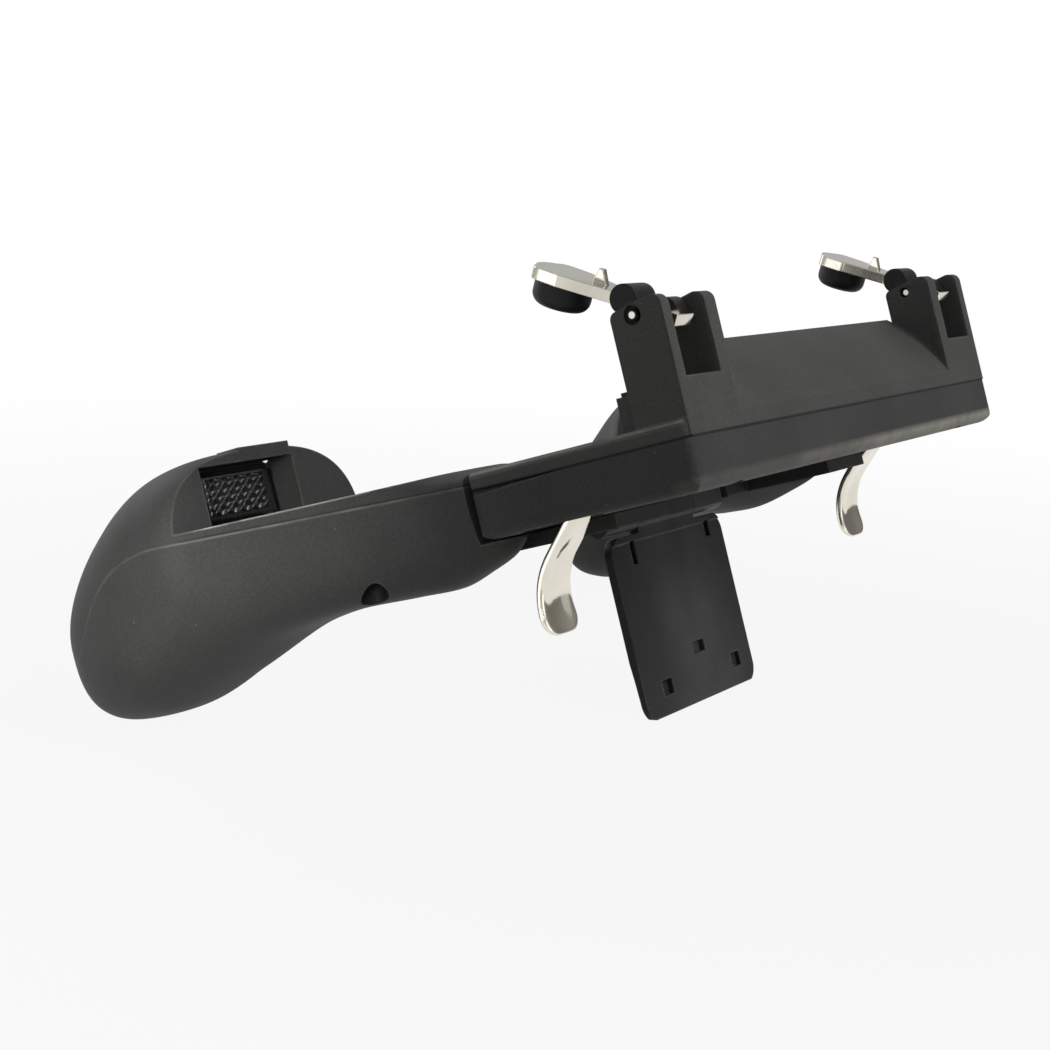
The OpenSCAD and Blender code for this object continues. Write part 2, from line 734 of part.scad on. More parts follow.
// The blade's middle line, s along it: a straight stem, then the finger curve.
finger_len = finger_r * finger_turn * PI / 180;
blade_len = stem_len + finger_len;
function heading(s) = -stem_slope - max(0, s - stem_len) / finger_r * 180 / PI;
function blade_middle(s) = s <= stem_len
    ? [trigger_y + s * cos(stem_slope), trigger_z - s * sin(stem_slope)]
    : [finger_y - finger_r * sin(heading(s)), finger_z + finger_r * cos(heading(s))];

// A ring across the blade: rounded edges, scooped on the finger's side, closing to a round tip.
tip_len = 3;
blade_points = 20;
stem_in = fork_w / 2 + 0.25 - blade_out;
function lerp(a, b, t) = a + (b - a) * t;
function blade_ring(s) = [
    let (
        near_tip = max(0, (s - blade_len + tip_len) / tip_len),
        close = max(0.1, sqrt(1 - near_tip * near_tip)),
        spread = min(1, max(0, s - 4.6) / 5),
        inner = lerp(stem_in, -trigger_w / 2, spread),
        narrow = 1 + 0.36 * max(0, s - stem_len) / finger_len,
        w = (trigger_w / 2 - inner) / 2 * narrow * (0.35 + 0.65 * close),
        middle = (trigger_w / 2 + inner) / 2,
        t = trigger_t / 2 * (1 - 0.2 * s / blade_len) * close,
        dip = scoop * min(1, max(0, s - 6) / 5) * close,
        m = blade_middle(s),
        h = heading(s)
    )
    for (k = [0 : blade_points - 1])
    let (
        a = 360 * (k + 0.5) / blade_points,
        across = signed_power(cos(a), 0.55),
        off = t * signed_power(sin(a), 0.7) + (sin(a) < 0 ? dip * (1 - across * across) : 0)
    )
    [middle + w * across, m[0] - off * sin(h), m[1] + off * cos(h)]
];
blade_stops = concat(
    [for (i = [0 : 4]) 2 + (stem_len - 2) * i / 5],
    [for (i = [0 : 9]) stem_len + (finger_len - tip_len) * i / 10],
    [for (i = [0 : 5]) blade_len - tip_len * pow(1 - i / 5, 1.6)]
);

module trigger(side) {
    hub_gap = fork_w - 0.2;
    color(chrome) placed() on_side(side) difference() {
        union() {
            rod((arm_in + blade_edge) / 2, trigger_y, trigger_z, trigger_hub_r, blade_edge - arm_in);
            translate([lever_x, trigger_y, trigger_z]) rotate([-arm_rest, 0, 0]) trigger_arm();
            translate([blade_x, 0, 0]) loft([for (s = blade_stops) blade_ring(s)]);
        }
        rod(lever_x, trigger_y, trigger_z, trigger_pin_r + running, big);
        rod(lever_x, trigger_y, trigger_z, trigger_hub_r + 0.2, hub_gap);
    }
}

// Two prongs with a cross pin at their end, joined by a web clear of the spring.
web_at = 4.5;
web_t = 2.2;

module trigger_arm() {
    prong_w = prong_t - 0.2;
    for (x = [-1, 1]) translate([x * (fork_w + prong_w) / 2, 0, 0]) {
        rod(0, -arm_r, 0, cross_r + 0.7, prong_w);
        block([-prong_w / 2, -arm_r, -1.3], [prong_w / 2, -1.6, 1.3]);
    }
    block([-fork_w / 2 - 1, -web_at - web_t / 2, -1.3], [fork_w / 2 + 1, -web_at + web_t / 2, 1.3]);
    rod(0, -arm_r, 0, cross_r, fork_w + 1);
}

module trigger_pin(side) {
    color(steel) placed() on_side(side) trigger_pin_form();
}

// Grips

tongue_low = -10.4;
tongue_from = 22;
sleeve_wall = 1.5;

module grip_form() {
    loft([for (i = [0 : ring_count]) grip_ring(last_station * i / ring_count)]);
}

// A flat tongue under the body, and the sleeve around the rail that it grows from.
module grip_tongue() {
    sleeve_end = grip_y + rail_in_grip + sleeve_wall;
    inner = spring_x - spring_r - sleeve_wall;
    past_lug = grip_y + lug_at + lug_t + 2 * sleeve_wall;
    block([rail_x - 1, tongue_from, tongue_low], [rail_out + 2 * sleeve_wall, sleeve_end, under_z + 2]);
    translate([0, 0, tongue_low]) linear_extrude(grip_seam - tongue_low) polygon([
        [inner, grip_y], [rail_out + 2 * sleeve_wall, grip_y], [rail_out + 2 * sleeve_wall, sleeve_end],
        [rail_x - sleeve_wall, sleeve_end], [rail_x - sleeve_wall, past_lug + rail_x - inner], [inner, past_lug]
    ]);
}

// The seam seen from the side: a gentle slope to the jaw, a bend, and a slope down the lobe's back.
function seam_turn(centre, a) = centre + seam_bend_r * [-sin(a), cos(a)];
module above_seam(lift) {
    bend = jaw_y + seam_bend_at;
    start = [bend, grip_seam + (bend - grip_y) * tan(grip_seam_slope)];
    centre = start - seam_bend_r * [-sin(grip_seam_slope), cos(grip_seam_slope)];
    steps = 8;
    side_view(0, big) translate([0, lift]) polygon(concat(
        [[-big / 2, big / 2], start - big / 2 * [cos(grip_seam_slope), sin(grip_seam_slope)]],
        [for (i = [0 : steps]) seam_turn(centre, lerp(grip_seam_slope, -seam_fall, i / steps))],
        [seam_turn(centre, -seam_fall) + big / 2 * [cos(seam_fall), -sin(seam_fall)], [big, big / 2]]
    ));
}

// The space that the body and the phone take out of the grips.
module grip_clearance() {
    block([0, -big, grip_deck], [big, jaw_y, big]);
    block([0, -big, under_z], [big, grip_y, big]);
}

module jaw_recess() {
    block([recess_x - recess_w / 2, jaw_y - 1, grip_deck],
          [recess_x + recess_w / 2, jaw_y + recess_d, grip_deck + recess_h]);
}

// A flat bar over the recess's inner half that stands a little above the jaw's arch.
module jaw_bar_form() {
    translate([0, jaw_y + recess_d - 1, 0]) rotate([90, 0, 0]) linear_extrude(recess_d - 1)
        rounded_square([recess_x - recess_w / 2 + 0.2, grip_deck + recess_h - 1],
                       [recess_x + 0.05 * recess_w, jaw_top + jaw_bar], 0.6);
}

grip_screw_places = [[out(0.097), along(0.565)], [out(0.12), behind(0.3)]];
grip_screw_z = [under_z + 0.5, -0.66 * lobe_drop];
grip_screw_len = [10.6, 20];

module grip_screw_holes() {
    for (i = [0, 1]) translate([grip_screw_places[i][0], grip_screw_places[i][1], 0]) {
        translate([0, 0, grip_screw_z[i] - big]) cylinder(r = screw_head_r + 0.15, h = big + screw_head_h);
        translate([0, 0, grip_screw_z[i]]) cylinder(r = screw_r, h = grip_screw_len[i] + 0.2);
    }
}

lug_at = 3;
lug_t = 1.6;

module rail_pocket() {
    block([rail_x, grip_y - 1, rail_mid - rail_t / 2],
          [rail_out, grip_y + rail_in_grip, rail_mid + rail_t / 2]);
    block([spring_x - spring_r - play, grip_y - 1, rail_mid - spring_r - play],
          [rail_x + 1, grip_y + lug_at + lug_t + play, rail_mid + spring_r + play]);
}

module grip_lower_shell(side) {
    color(plastic) placed() on_side(side) difference() {
        union() {
            grip_form();
            grip_tongue();
        }
        above_seam(-shell_gap / 2);
        grip_clearance();
        rail_pocket();
        grip_screw_holes();
    }
}

module grip_upper_shell(side) {
    color(plastic) placed() on_side(side) difference() {
        union() {
            intersection() {
                grip_form();
                above_seam(shell_gap / 2);
            }
            jaw_bar_form();
        }
        grip_clearance();
        jaw_recess();
        grip_screw_holes();
    }
}

module jaw_pad(side) {
    in = 2.6;
    color(rubber) placed() on_side(side)
        block([recess_x - recess_w / 2 + in, jaw_y + recess_d - jaw_pad_t, grip_deck + 1],
              [recess_x + recess_w / 2 - in, jaw_y + recess_d, grip_deck + recess_h - 1]);
}

module slide_rail(side) {
    low = rail_mid - rail_t / 2;
    high = rail_mid + rail_t / 2;
    color(steel) placed() on_side(side) difference() {
        union() {
            block([rail_x, rail_rear - rail_head, low], [rail_out, grip_y + rail_in_grip, high]);
            block([rail_x - rail_step, rail_rear - rail_head, low], [rail_out, rail_rear, high]);
            block([spring_x - 0.6, grip_y + lug_at, rail_mid - 0.8],
                  [rail_x, grip_y + lug_at + lug_t, rail_mid + 0.8]);
        }
        block([rail_x + 3.4, rail_rear + 4, low - 1], [rail_out - 3.4, grip_y - 4, high + 1]);
    }
}

// A pull spring lies beside the rail, from a lug in the body to the rail's own lug.
module grip_spring(side) {
    turns = 14;
    length = grip_y + lug_at - spring_wire - 0.05 - spring_from;
    path = [for (p = coil(turns, spring_r - spring_wire, length / turns, 6)) [p[1], p[0], p[2]]];
    color(steel) placed() on_side(side)
        translate([spring_x, spring_from, rail_mid]) wire(path, spring_wire, 5);
}

module grip_screws(side) {
    color(steel) placed() on_side(side) for (i = [0, 1])
        screw_set([grip_screw_places[i]], grip_screw_z[i], grip_screw_len[i]);
}

body_lower_shell();
body_upper_shell();
body_screws();
stand_bracket();
stand_plate();
stand_hinge_pin();
lever_arm(LEFT);  // left_lever_arm
lever_hub(LEFT);  // left_lever_hub
touch_pad(LEFT);  // left_touch_pad
lever_pin(LEFT);  // left_lever_pin
trigger_spring(LEFT);  // left_trigger_spring
pull_link(LEFT);  // left_pull_link
trigger(LEFT);  // left_trigger
trigger_pin(LEFT);  // left_trigger_pin
grip_lower_shell(LEFT);  // left_grip_lower_shell
grip_upper_shell(LEFT);  // left_grip_upper_shell
jaw_pad(LEFT);  // left_jaw_pad
slide_rail(LEFT);  // left_slide_rail
grip_spring(LEFT);  // left_grip_spring
grip_screws(LEFT);  // left_grip_screws
lever_arm(RIGHT);  // right_lever_arm
lever_hub(RIGHT);  // right_lever_hub
touch_pad(RIGHT);  // right_touch_pad
lever_pin(RIGHT);  // right_lever_pin
trigger_spring(RIGHT);  // right_trigger_spring
pull_link(RIGHT);  // right_pull_link
trigger(RIGHT);  // right_trigger
trigger_pin(RIGHT);  // right_trigger_pin
grip_lower_shell(RIGHT);  // right_grip_lower_shell
grip_upper_shell(RIGHT);  // right_grip_upper_shell
jaw_pad(RIGHT);  // right_jaw_pad
slide_rail(RIGHT);  // right_slide_rail
grip_spring(RIGHT);  // right_grip_spring
grip_screws(RIGHT);  // right_grip_screws
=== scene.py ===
"""Looks of the mobile game controller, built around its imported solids."""
import math

import bpy
import numpy as np
from mathutils import Matrix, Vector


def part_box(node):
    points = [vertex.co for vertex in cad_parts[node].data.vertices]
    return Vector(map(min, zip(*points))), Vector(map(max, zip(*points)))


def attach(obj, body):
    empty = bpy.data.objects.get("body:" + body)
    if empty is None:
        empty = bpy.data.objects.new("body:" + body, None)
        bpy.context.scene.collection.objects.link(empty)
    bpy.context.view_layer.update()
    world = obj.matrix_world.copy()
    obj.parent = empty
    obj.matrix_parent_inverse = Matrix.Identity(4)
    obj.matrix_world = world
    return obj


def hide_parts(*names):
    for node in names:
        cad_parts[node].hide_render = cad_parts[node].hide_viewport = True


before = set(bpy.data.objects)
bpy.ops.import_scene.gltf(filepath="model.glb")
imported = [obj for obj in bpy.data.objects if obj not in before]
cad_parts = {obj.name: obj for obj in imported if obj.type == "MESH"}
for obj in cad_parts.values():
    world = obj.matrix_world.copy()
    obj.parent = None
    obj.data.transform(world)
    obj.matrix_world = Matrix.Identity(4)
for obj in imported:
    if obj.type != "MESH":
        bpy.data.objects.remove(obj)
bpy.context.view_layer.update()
MM = 0.001
SIDES = {"left": -1.0, "right": 1.0}

# Sizes repeated from the part's source, in millimetres, with the deck level: x to the right, y from the body's
# rear face towards the player, z up from the seam of the body.
TILT = math.radians(20.0)
FOOT = (0.0, 40.6, -43.2646)
HALF_W, POST_IN, UPPER_H = 60.0, 42.5, 2.6
JAW_Y, GRIP_Y, GRIP_DECK, UNDER_Z = 71.0, 38.8, 3.6, -8.1
JAW_TOP, JAW_BAR, LOBE_LEN, LOBE_OUT, LOBE_DROP = 14.4, 0.5, 35.4, 30.4, 22.8
RAIL_X, RAIL_OUT, RAIL_IN_GRIP, SPRING_IN = 32.0, 44.0, 22.0, 22.5
RECESS_X, RECESS_W, RECESS_H, RECESS_D = 68.208, 22.0, 9.1, 5.5
SEAM, SEAM_SLOPE, SEAM_FALL = 0.9, math.radians(2.6), math.radians(42.0)
SEAM_BEND_Y, SEAM_BEND_R = JAW_Y + 2.0, 19.6
TONGUE_FROM, TONGUE_LOW, SLEEVE_WALL = 22.0, -10.4, 1.5


def outer(k):
    """Distance from the middle: the body's end plus a share of the lobe's reach."""
    return HALF_W + k * LOBE_OUT


def along(k):
    """Distance from the rear face: a share of the way from the grip's start to the jaw."""
    return GRIP_Y + k * (JAW_Y - GRIP_Y)


def behind(k):
    """Distance from the rear face: the jaw plus a share of the lobe's length."""
    return JAW_Y + k * LOBE_LEN


# The grip's screws: the middle of the head's lower face.
SCREWS = ((outer(0.097), along(0.565), UNDER_Z + 0.5), (outer(0.12), behind(0.3), -0.66 * LOBE_DROP))


def standing(p):
    """Sets level points (n by 3, mm) down on the feet: moved to the foot, turned by the tilt, in metres."""
    return turned(np.asarray(p, float) - np.array(FOOT)) * MM


def turned(v):
    """Turns level directions with the standing object, by the tilt about x."""
    c, s = math.cos(TILT), math.sin(TILT)
    return np.stack([v[..., 0], c * v[..., 1] + s * v[..., 2], c * v[..., 2] - s * v[..., 1]], -1)


# Camera, over the level deck

CAMERA_YAW, CAMERA_PITCH, CAMERA_ROLL = math.radians(56.91), math.radians(-0.15), math.radians(-13.32)
CAMERA_PLACE = (-303.36, -129.12, -5.92)
SENSOR, LENS = 36.0, 68.57


def place_camera():
    """Camera from its yaw, pitch and roll over the level deck, set down with the object."""
    level = math.cos(CAMERA_PITCH)
    ahead = np.array([math.sin(CAMERA_YAW) * level, math.cos(CAMERA_YAW) * level, math.sin(CAMERA_PITCH)])
    flat_right = np.array([math.cos(CAMERA_YAW), -math.sin(CAMERA_YAW), 0.0])
    right = math.cos(CAMERA_ROLL) * flat_right + math.sin(CAMERA_ROLL) * np.cross(flat_right, ahead)
    up = np.cross(right, ahead)
    axes = np.stack([turned(right), turned(up), -turned(ahead), standing(CAMERA_PLACE)], -1)
    data = bpy.data.cameras.new("camera")
    data.sensor_width, data.lens = SENSOR, LENS
    data.clip_start, data.clip_end = 0.02, 20.0
    camera = bpy.data.objects.new("camera", data)
    bpy.context.scene.collection.objects.link(camera)
    camera.matrix_world = Matrix(axes.tolist() + [[0, 0, 0, 1]])
    bpy.context.scene.camera = camera


place_camera()


# Shader maths

class Val:
    """One socket of a node tree; operators add Math nodes, and node() adds any other node."""

    def __init__(self, tree, socket):
        self.tree, self.socket = tree, socket

    def node(self, kind, settings=None, output=0, **inputs):
        """Adds a node: its settings first, then its inputs, each by its name or by its number as i0, i1, i2."""
        made = self.tree.nodes.new(kind)
        for key, value in (settings or {}).items():
            setattr(made, key, value)
        for key, value in inputs.items():
            feed(made.inputs[int(key[1:]) if key[1:].isdigit() else key.replace("_", " ")], value)
        return Val(self.tree, made.outputs[output])

    def maths(self, operation, a, b=0.0):
        return self.node("ShaderNodeMath", {"operation": operation}, i0=a, i1=b)

    def __add__(self, o): return self.maths("ADD", self, o)
    def __radd__(self, o): return self.maths("ADD", o, self)
    def __sub__(self, o): return self.maths("SUBTRACT", self, o)
    def __rsub__(self, o): return self.maths("SUBTRACT", o, self)
    def __mul__(self, o): return self.maths("MULTIPLY", self, o)
    def __rmul__(self, o): return self.maths("MULTIPLY", o, self)
    def __truediv__(self, o): return self.maths("DIVIDE", self, o)
    def __rtruediv__(self, o): return self.maths("DIVIDE", o, self)
    def __pow__(self, o): return self.maths("POWER", self, o)

    def part(self, axis):
        """The x, y or z of a vector, for axis 0, 1 or 2."""
        return self.node("ShaderNodeSeparateXYZ", None, axis, Vector=self)

    def clamped(self, low, high):
        """Maps low..high to 0..1 and stops there."""
        return self.node("ShaderNodeMapRange", {"clamp": True}, i0=self, i1=low, i2=high, i3=0.0, i4=1.0)

    def mixed(self, a, b):
        """Colour a where this is 0, colour b where it is 1."""
        return self.node("ShaderNodeMix", {"data_type": "RGBA"}, 2, i0=self, i6=a, i7=b)


def feed(socket, value):
    """Links a Val to the socket, or sets a plain value on it."""
    if isinstance(value, Val):
        value.tree.links.new(value.socket, socket)
    else:
        socket.default_value = value


def wire(shader, **inputs):
    """Feeds a shader's inputs by their names."""
    for key, value in inputs.items():
        feed(shader.inputs[key.replace("_", " ")], value)


def finish_of(name):
    """A new material: returns it, its Principled node and a Val over its Object coordinates."""
    made = bpy.data.materials.new(name)
    made.use_nodes = True
    tree = made.node_tree
    shader = tree.nodes["Principled BSDF"]
    where = Val(tree, tree.nodes.new("ShaderNodeTexCoord").outputs["Object"])
    return made, shader, where


def grain(where, scale, detail=2.0, rough=0.5):
    """Noise about 0.5, with about scale grains to the metre."""
    return where.node("ShaderNodeTexNoise", None, 0, Vector=where, Scale=scale, Detail=detail, Roughness=rough)


def stretched(where, x, y, z):
    """The place with each axis scaled, so that a noise on it is drawn out into lines."""
    return where.node("ShaderNodeMapping", None, Vector=where, Scale=(x, y, z))


def thin_line(off):
    """1 where off is 0, a half at 1 and near 0 past 2: one over 1 plus the fourth power."""
    return 1.0 / (1.0 + off * off * off * off)


def rounded_normal(where, height, strength, distance, radius):
    """Bump over edges that are softened by a small radius."""
    soft = where.node("ShaderNodeBevel", {"samples": 6}, Radius=radius)
    return where.node("ShaderNodeBump", None, Strength=strength, Distance=distance, Height=height, Normal=soft)


def level_height(where):
    """Height over the body's seam in mm, with the deck level, from the standing place."""
    return where.part(1) * (math.sin(TILT) / MM) + where.part(2) * (math.cos(TILT) / MM) + FOOT[2]


def level_depth(where):
    """Distance from the body's rear face in mm, with the deck level, from the standing place."""
    return where.part(1) * (math.cos(TILT) / MM) - where.part(2) * (math.sin(TILT) / MM) + FOOT[1]


def level_across(where):
    """Distance from the middle in mm, on either side."""
    return where.maths("ABSOLUTE", where.part(0) / MM)


def worn_edge(where, radius):
    """1 along sharp edges and 0 on faces: how far the softened normal leans from the plain one, broken up."""
    soft = where.node("ShaderNodeBevel", {"samples": 4}, Radius=radius)
    plain = where.node("ShaderNodeNewGeometry", None, 1)
    lean = where.node("ShaderNodeVectorMath", {"operation": "DOT_PRODUCT"}, 1, i0=soft, i1=plain)
    return (1.0 - lean).clamped(0.01, 0.16) * grain(where, 140.0, 3.0, 0.7).clamped(0.34, 0.66)


# Finishes

# Grains to the metre of the plastic's noises, and the tones that wear brings and that darken soiled seams, the
# dark one also painted shade in the grip's screw wells.
SPARKS, CLOUDS, SCUFFS, DUST, DUST_PATCHES = 2600.0, 38.0, 130.0, 330.0, 75.0
WORN_TONE, DIRT_AND_SHADE_TONE = (0.17, 0.166, 0.150, 1), (0.007, 0.007, 0.0075, 1)
WORN_WIDTH, SPARK_DEPTH = 0.0005, 0.00012


def moulded_plastic(name, dark, light, rough, edge=0.00035, speck=0.5, wear_and_highlight=None, pale=None, dirt_and_shade=None):
    """Moulded plastic: a fine sparked texture, cloudy handling marks, pale specks and scuffs, edges worn paler.
    Where the pale mask is 1 the tone is pale: wear, and painted highlights; where the dark mask is 1 it is dark:
    soiled seams, and painted shade."""
    made, shader, where = finish_of(name)
    fine = grain(where, SPARKS, 1.0)
    cloud = grain(where, CLOUDS, 4.0, 0.6)
    scuff = grain(stretched(where, 1.0, 14.0, 14.0), SCUFFS, 3.0, 0.7).clamped(0.66, 0.80)
    dust = where.node("ShaderNodeTexVoronoi", {"feature": "F1"}, Vector=where, Scale=DUST)
    patches = grain(where, DUST_PATCHES, 1.0).clamped(0.53, 0.64)
    marks = ((1.0 - dust.clamped(0.03, 0.075)) * patches + scuff * 0.25) * speck
    tone = (cloud.clamped(0.3, 0.7) * 0.55 + fine.clamped(0.28, 0.72) * 0.45).mixed(dark, light)
    worn = (marks + worn_edge(where, WORN_WIDTH) * 1.6 * speck).clamped(0.0, 1.0)
    tone = worn.mixed(tone, WORN_TONE)
    # The pale mask: wear, and painted highlights on some shells.
    if wear_and_highlight:
        tone = wear_and_highlight(where).mixed(tone, pale)
    # The dark mask: soiled seams, and painted shade in the grip's screw wells.
    if dirt_and_shade:
        tone = dirt_and_shade(where).mixed(tone, DIRT_AND_SHADE_TONE)
    roughness = rough + (cloud - 0.5) * 0.16 + (fine - 0.5) * 0.1 + marks * 0.1
    bump = rounded_normal(where, fine + scuff * 0.4, 0.22, SPARK_DEPTH, edge)
    wire(shader, Base_Color=tone, Roughness=roughness, Normal=bump, Specular_IOR_Level=0.16)
    return made


# Middle and half width in metres of the painted highlight down the stand plate.
PLATE_HIGHLIGHT_X, PLATE_HIGHLIGHT_HALF = 0.002, 0.012


def plate_middle_highlight(where):
    """A soft upright band in the middle of the stand plate, painted a little paler: a painted highlight down its
    middle.
    """
    off = (where.part(0) - PLATE_HIGHLIGHT_X) / PLATE_HIGHLIGHT_HALF
    return 0.9 * thin_line(off) * grain(where, 60.0, 3.0).clamped(0.1, 0.6)


def body_seam(where):
    """Dirt in the line where the body's shells meet, at height 0."""
    height = level_height(where)
    return 0.9 - 0.9 * (height * height).clamped(0.02, 0.07)


# Half widths of the grip seam's painted highlight line and its dark line in mm, and where along the lobe they
# end.
LIT_LINE, DIRT_LINE, SEAM_ENDS = 0.16, 0.12, (80.0, 87.0)


def over_grip_seam(where):
    """Height over the grip's seam in mm, and how much of the line shows: the straight run up to the bend, then
    the distance outside the bend's arc, where the line is fainter and fades out."""
    height, depth = level_height(where), level_depth(where)
    rise = math.tan(SEAM_SLOPE)
    straight = height - depth * rise - (SEAM - GRIP_Y * rise)
    dy = depth - (SEAM_BEND_Y + SEAM_BEND_R * math.sin(SEAM_SLOPE))
    dz = height - (SEAM + (SEAM_BEND_Y - GRIP_Y) * rise - SEAM_BEND_R * math.cos(SEAM_SLOPE))
    bent = depth.clamped(SEAM_BEND_Y - 0.01, SEAM_BEND_Y)
    over = straight * (1.0 - bent) + ((dy * dy + dz * dz) ** 0.5 - SEAM_BEND_R) * bent
    shown = 1.0 - depth.clamped(SEAM_BEND_Y - 4.0, SEAM_BEND_Y + 3.0) * 0.6 - depth.clamped(*SEAM_ENDS) * 0.4
    return over, shown


def lit_grip_seam(where):
    """The lower shell's edge just under the seam's line, painted pale as a highlight, and the deck's edge with a
    stronger painted highlight that also stands for wear.
    """
    over, shown = over_grip_seam(where)
    broken = grain(where, 110.0, 3.0, 0.6).clamped(0.3, 0.6)
    # A painted highlight just under the seam; the deck's edge below gets a stronger one, partly wear.
    seam = 0.26 * shown * thin_line((over + LIT_LINE) / LIT_LINE) * broken
    deck = level_height(where).clamped(GRIP_DECK - 0.6, GRIP_DECK - 0.3)
    deck = deck * level_depth(where).clamped(JAW_Y - 0.8, JAW_Y - 4.0)
    return (seam + deck * worn_edge(where, 0.0006) * 2.4).clamped(0.0, 1.0)


def grip_well_shade_and_seam_dirt(where):
    """Painted shade in the screw wells (inside their radius, below the grip's floor), and a soiled dark line over
    the seam.
    """
    height, depth, across = level_height(where), level_depth(where), level_across(where)
    # Painted shade inside each screw well.
    well_shade = 0.0
    for x, y, z in SCREWS:
        dx, dy = across - x, depth - y
        well_shade = well_shade + (dx * dx + dy * dy).clamped(5.0, 4.7) * height.clamped(z + 2.0, z + 1.5)
    over, shown = over_grip_seam(where)
    return (well_shade + 0.6 * shown * thin_line((over - DIRT_LINE) / DIRT_LINE)).clamped(0.0, 1.0)


def rubbed_rim(where):
    """The upper edge of the body's end faces, worn pale in a thin broken line."""
    height = level_height(where)
    line = height.clamped(UPPER_H - 0.55, UPPER_H - 0.2) * height.clamped(UPPER_H + 0.35, UPPER_H + 0.05)
    ends = level_across(where).clamped(HALF_W - 1.0, HALF_W - 0.3)
    return line * ends * grain(where, 120.0, 4.0, 0.65).clamped(0.25, 0.55)


def keel_highlight(where):
    """The rounded rear edge under the body, painted pale in a patchy strip, most of all to the right: a painted
    highlight, for the floor's reflection in the rounded edge.
    """
    patchy = 0.35 + 0.65 * grain(where, 60.0, 4.0, 0.65).clamped(0.3, 0.6)
    edge = level_height(where).clamped(-5.3, -6.3) * level_depth(where).clamped(5.0, 2.8)
    return edge * (0.25 + 0.75 * where.part(0).clamped(-0.03, 0.005)) * patchy


def polished_chrome(name, bright, dull):
    """Chrome plating: bright, with faint polishing lines, cloudy breath and a little orange peel."""
    made, shader, where = finish_of(name)
    brushed = grain(stretched(where, 60.0, 900.0, 900.0), 2.0, 3.0, 0.6)
    cloud = grain(where, 120.0, 3.0)
    tone = cloud.clamped(0.35, 0.75).mixed(bright, dull)
    roughness = 0.07 + brushed * 0.08 + cloud.clamped(0.55, 0.8) * 0.12
    bump = rounded_normal(where, brushed * 0.3 + cloud, 0.10, 0.00015, 0.0003)
    wire(shader, Base_Color=tone, Metallic=1.0, Roughness=roughness, Normal=bump)
    return made


def plain_steel(name, dark, light):
    """Drawn steel: fine turning lines and a tone that varies slightly between the two given."""
    made, shader, where = finish_of(name)
    lines = grain(stretched(where, 1500.0, 300.0, 300.0), 1.0, 2.0)
    bump = rounded_normal(where, lines, 0.08, 0.0001, 0.0002)
    wire(shader, Base_Color=lines.mixed(dark, light), Metallic=1.0, Roughness=0.22 + lines * 0.15, Normal=bump)
    return made


def ringed_steel(name, node, black, bare):
    """Steel pin along x: bare in the middle of its ends, blackened from half its radius to the rim."""
    made, shader, where = finish_of(name)
    low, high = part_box(node)
    y = where.part(1) - (low[1] + high[1]) / 2
    z = where.part(2) - (low[2] + high[2]) / 2
    off = (y * y + z * z) ** 0.5 / ((high[2] - low[2]) / 2)
    bright = off.clamped(0.66, 0.5)
    scratch = grain(where, 900.0, 2.0)
    tone = (bright * (0.6 + scratch * 0.4)).mixed(black, bare)
    bump = rounded_normal(where, scratch, 0.1, 0.0001, 0.0002)
    wire(shader, Base_Color=tone, Metallic=bright, Roughness=0.55 - bright * 0.3 + scratch * 0.1, Normal=bump,
         Specular_IOR_Level=0.1)
    return made


def soft_rubber(name, dark, light, rough, gloss=0.0):
    """Moulded rubber: a dull skin with faint bloom, fine pores, and a coat where it is glossy."""
    made, shader, where = finish_of(name)
    bloom = grain(where, 160.0, 4.0, 0.6)
    pores = grain(where, 3800.0, 1.0)
    tone = bloom.clamped(0.35, 0.75).mixed(dark, light)
    roughness = rough + (bloom - 0.5) * 0.18 + (pores - 0.5) * 0.06
    bump = rounded_normal(where, pores, 0.10, 0.0001, 0.0004)
    wire(shader, Base_Color=tone, Roughness=roughness, Normal=bump, Coat_Weight=gloss,
         Specular_IOR_Level=0.25 + 0.5 * gloss)
    return made


# Pale marks: wear on the hood's rim; painted highlights on the grip's seam and deck edge, the keel and the
# plate's middle. The dark tone: soiled seams, and painted shade in the grip's screw wells.
SHELL = moulded_plastic("shell_plastic", (0.0270, 0.0276, 0.0274, 1), (0.0560, 0.0562, 0.0532, 1), 0.60,
                        wear_and_highlight=lit_grip_seam, pale=(0.46, 0.445, 0.40, 1), dirt_and_shade=grip_well_shade_and_seam_dirt)
BASE = moulded_plastic("base_plastic", (0.0270, 0.0277, 0.0276, 1), (0.0570, 0.0572, 0.0550, 1), 0.60,
                       wear_and_highlight=keel_highlight, pale=(0.29, 0.278, 0.242, 1), dirt_and_shade=body_seam)
# The upper shell's tones are raised above the lower shell's: painted light, for the light that falls on the hood.
LIT_HOOD = moulded_plastic("hood_plastic_painted_lit", (0.0400, 0.0408, 0.0404, 1), (0.0830, 0.0830, 0.0780, 1), 0.60, 0.0011,
                       wear_and_highlight=rubbed_rim, pale=(0.45, 0.43, 0.38, 1), dirt_and_shade=body_seam)
DARK = moulded_plastic("dark_plastic", (0.0470, 0.0479, 0.0482, 1), (0.0860, 0.0868, 0.0860, 1), 0.52)
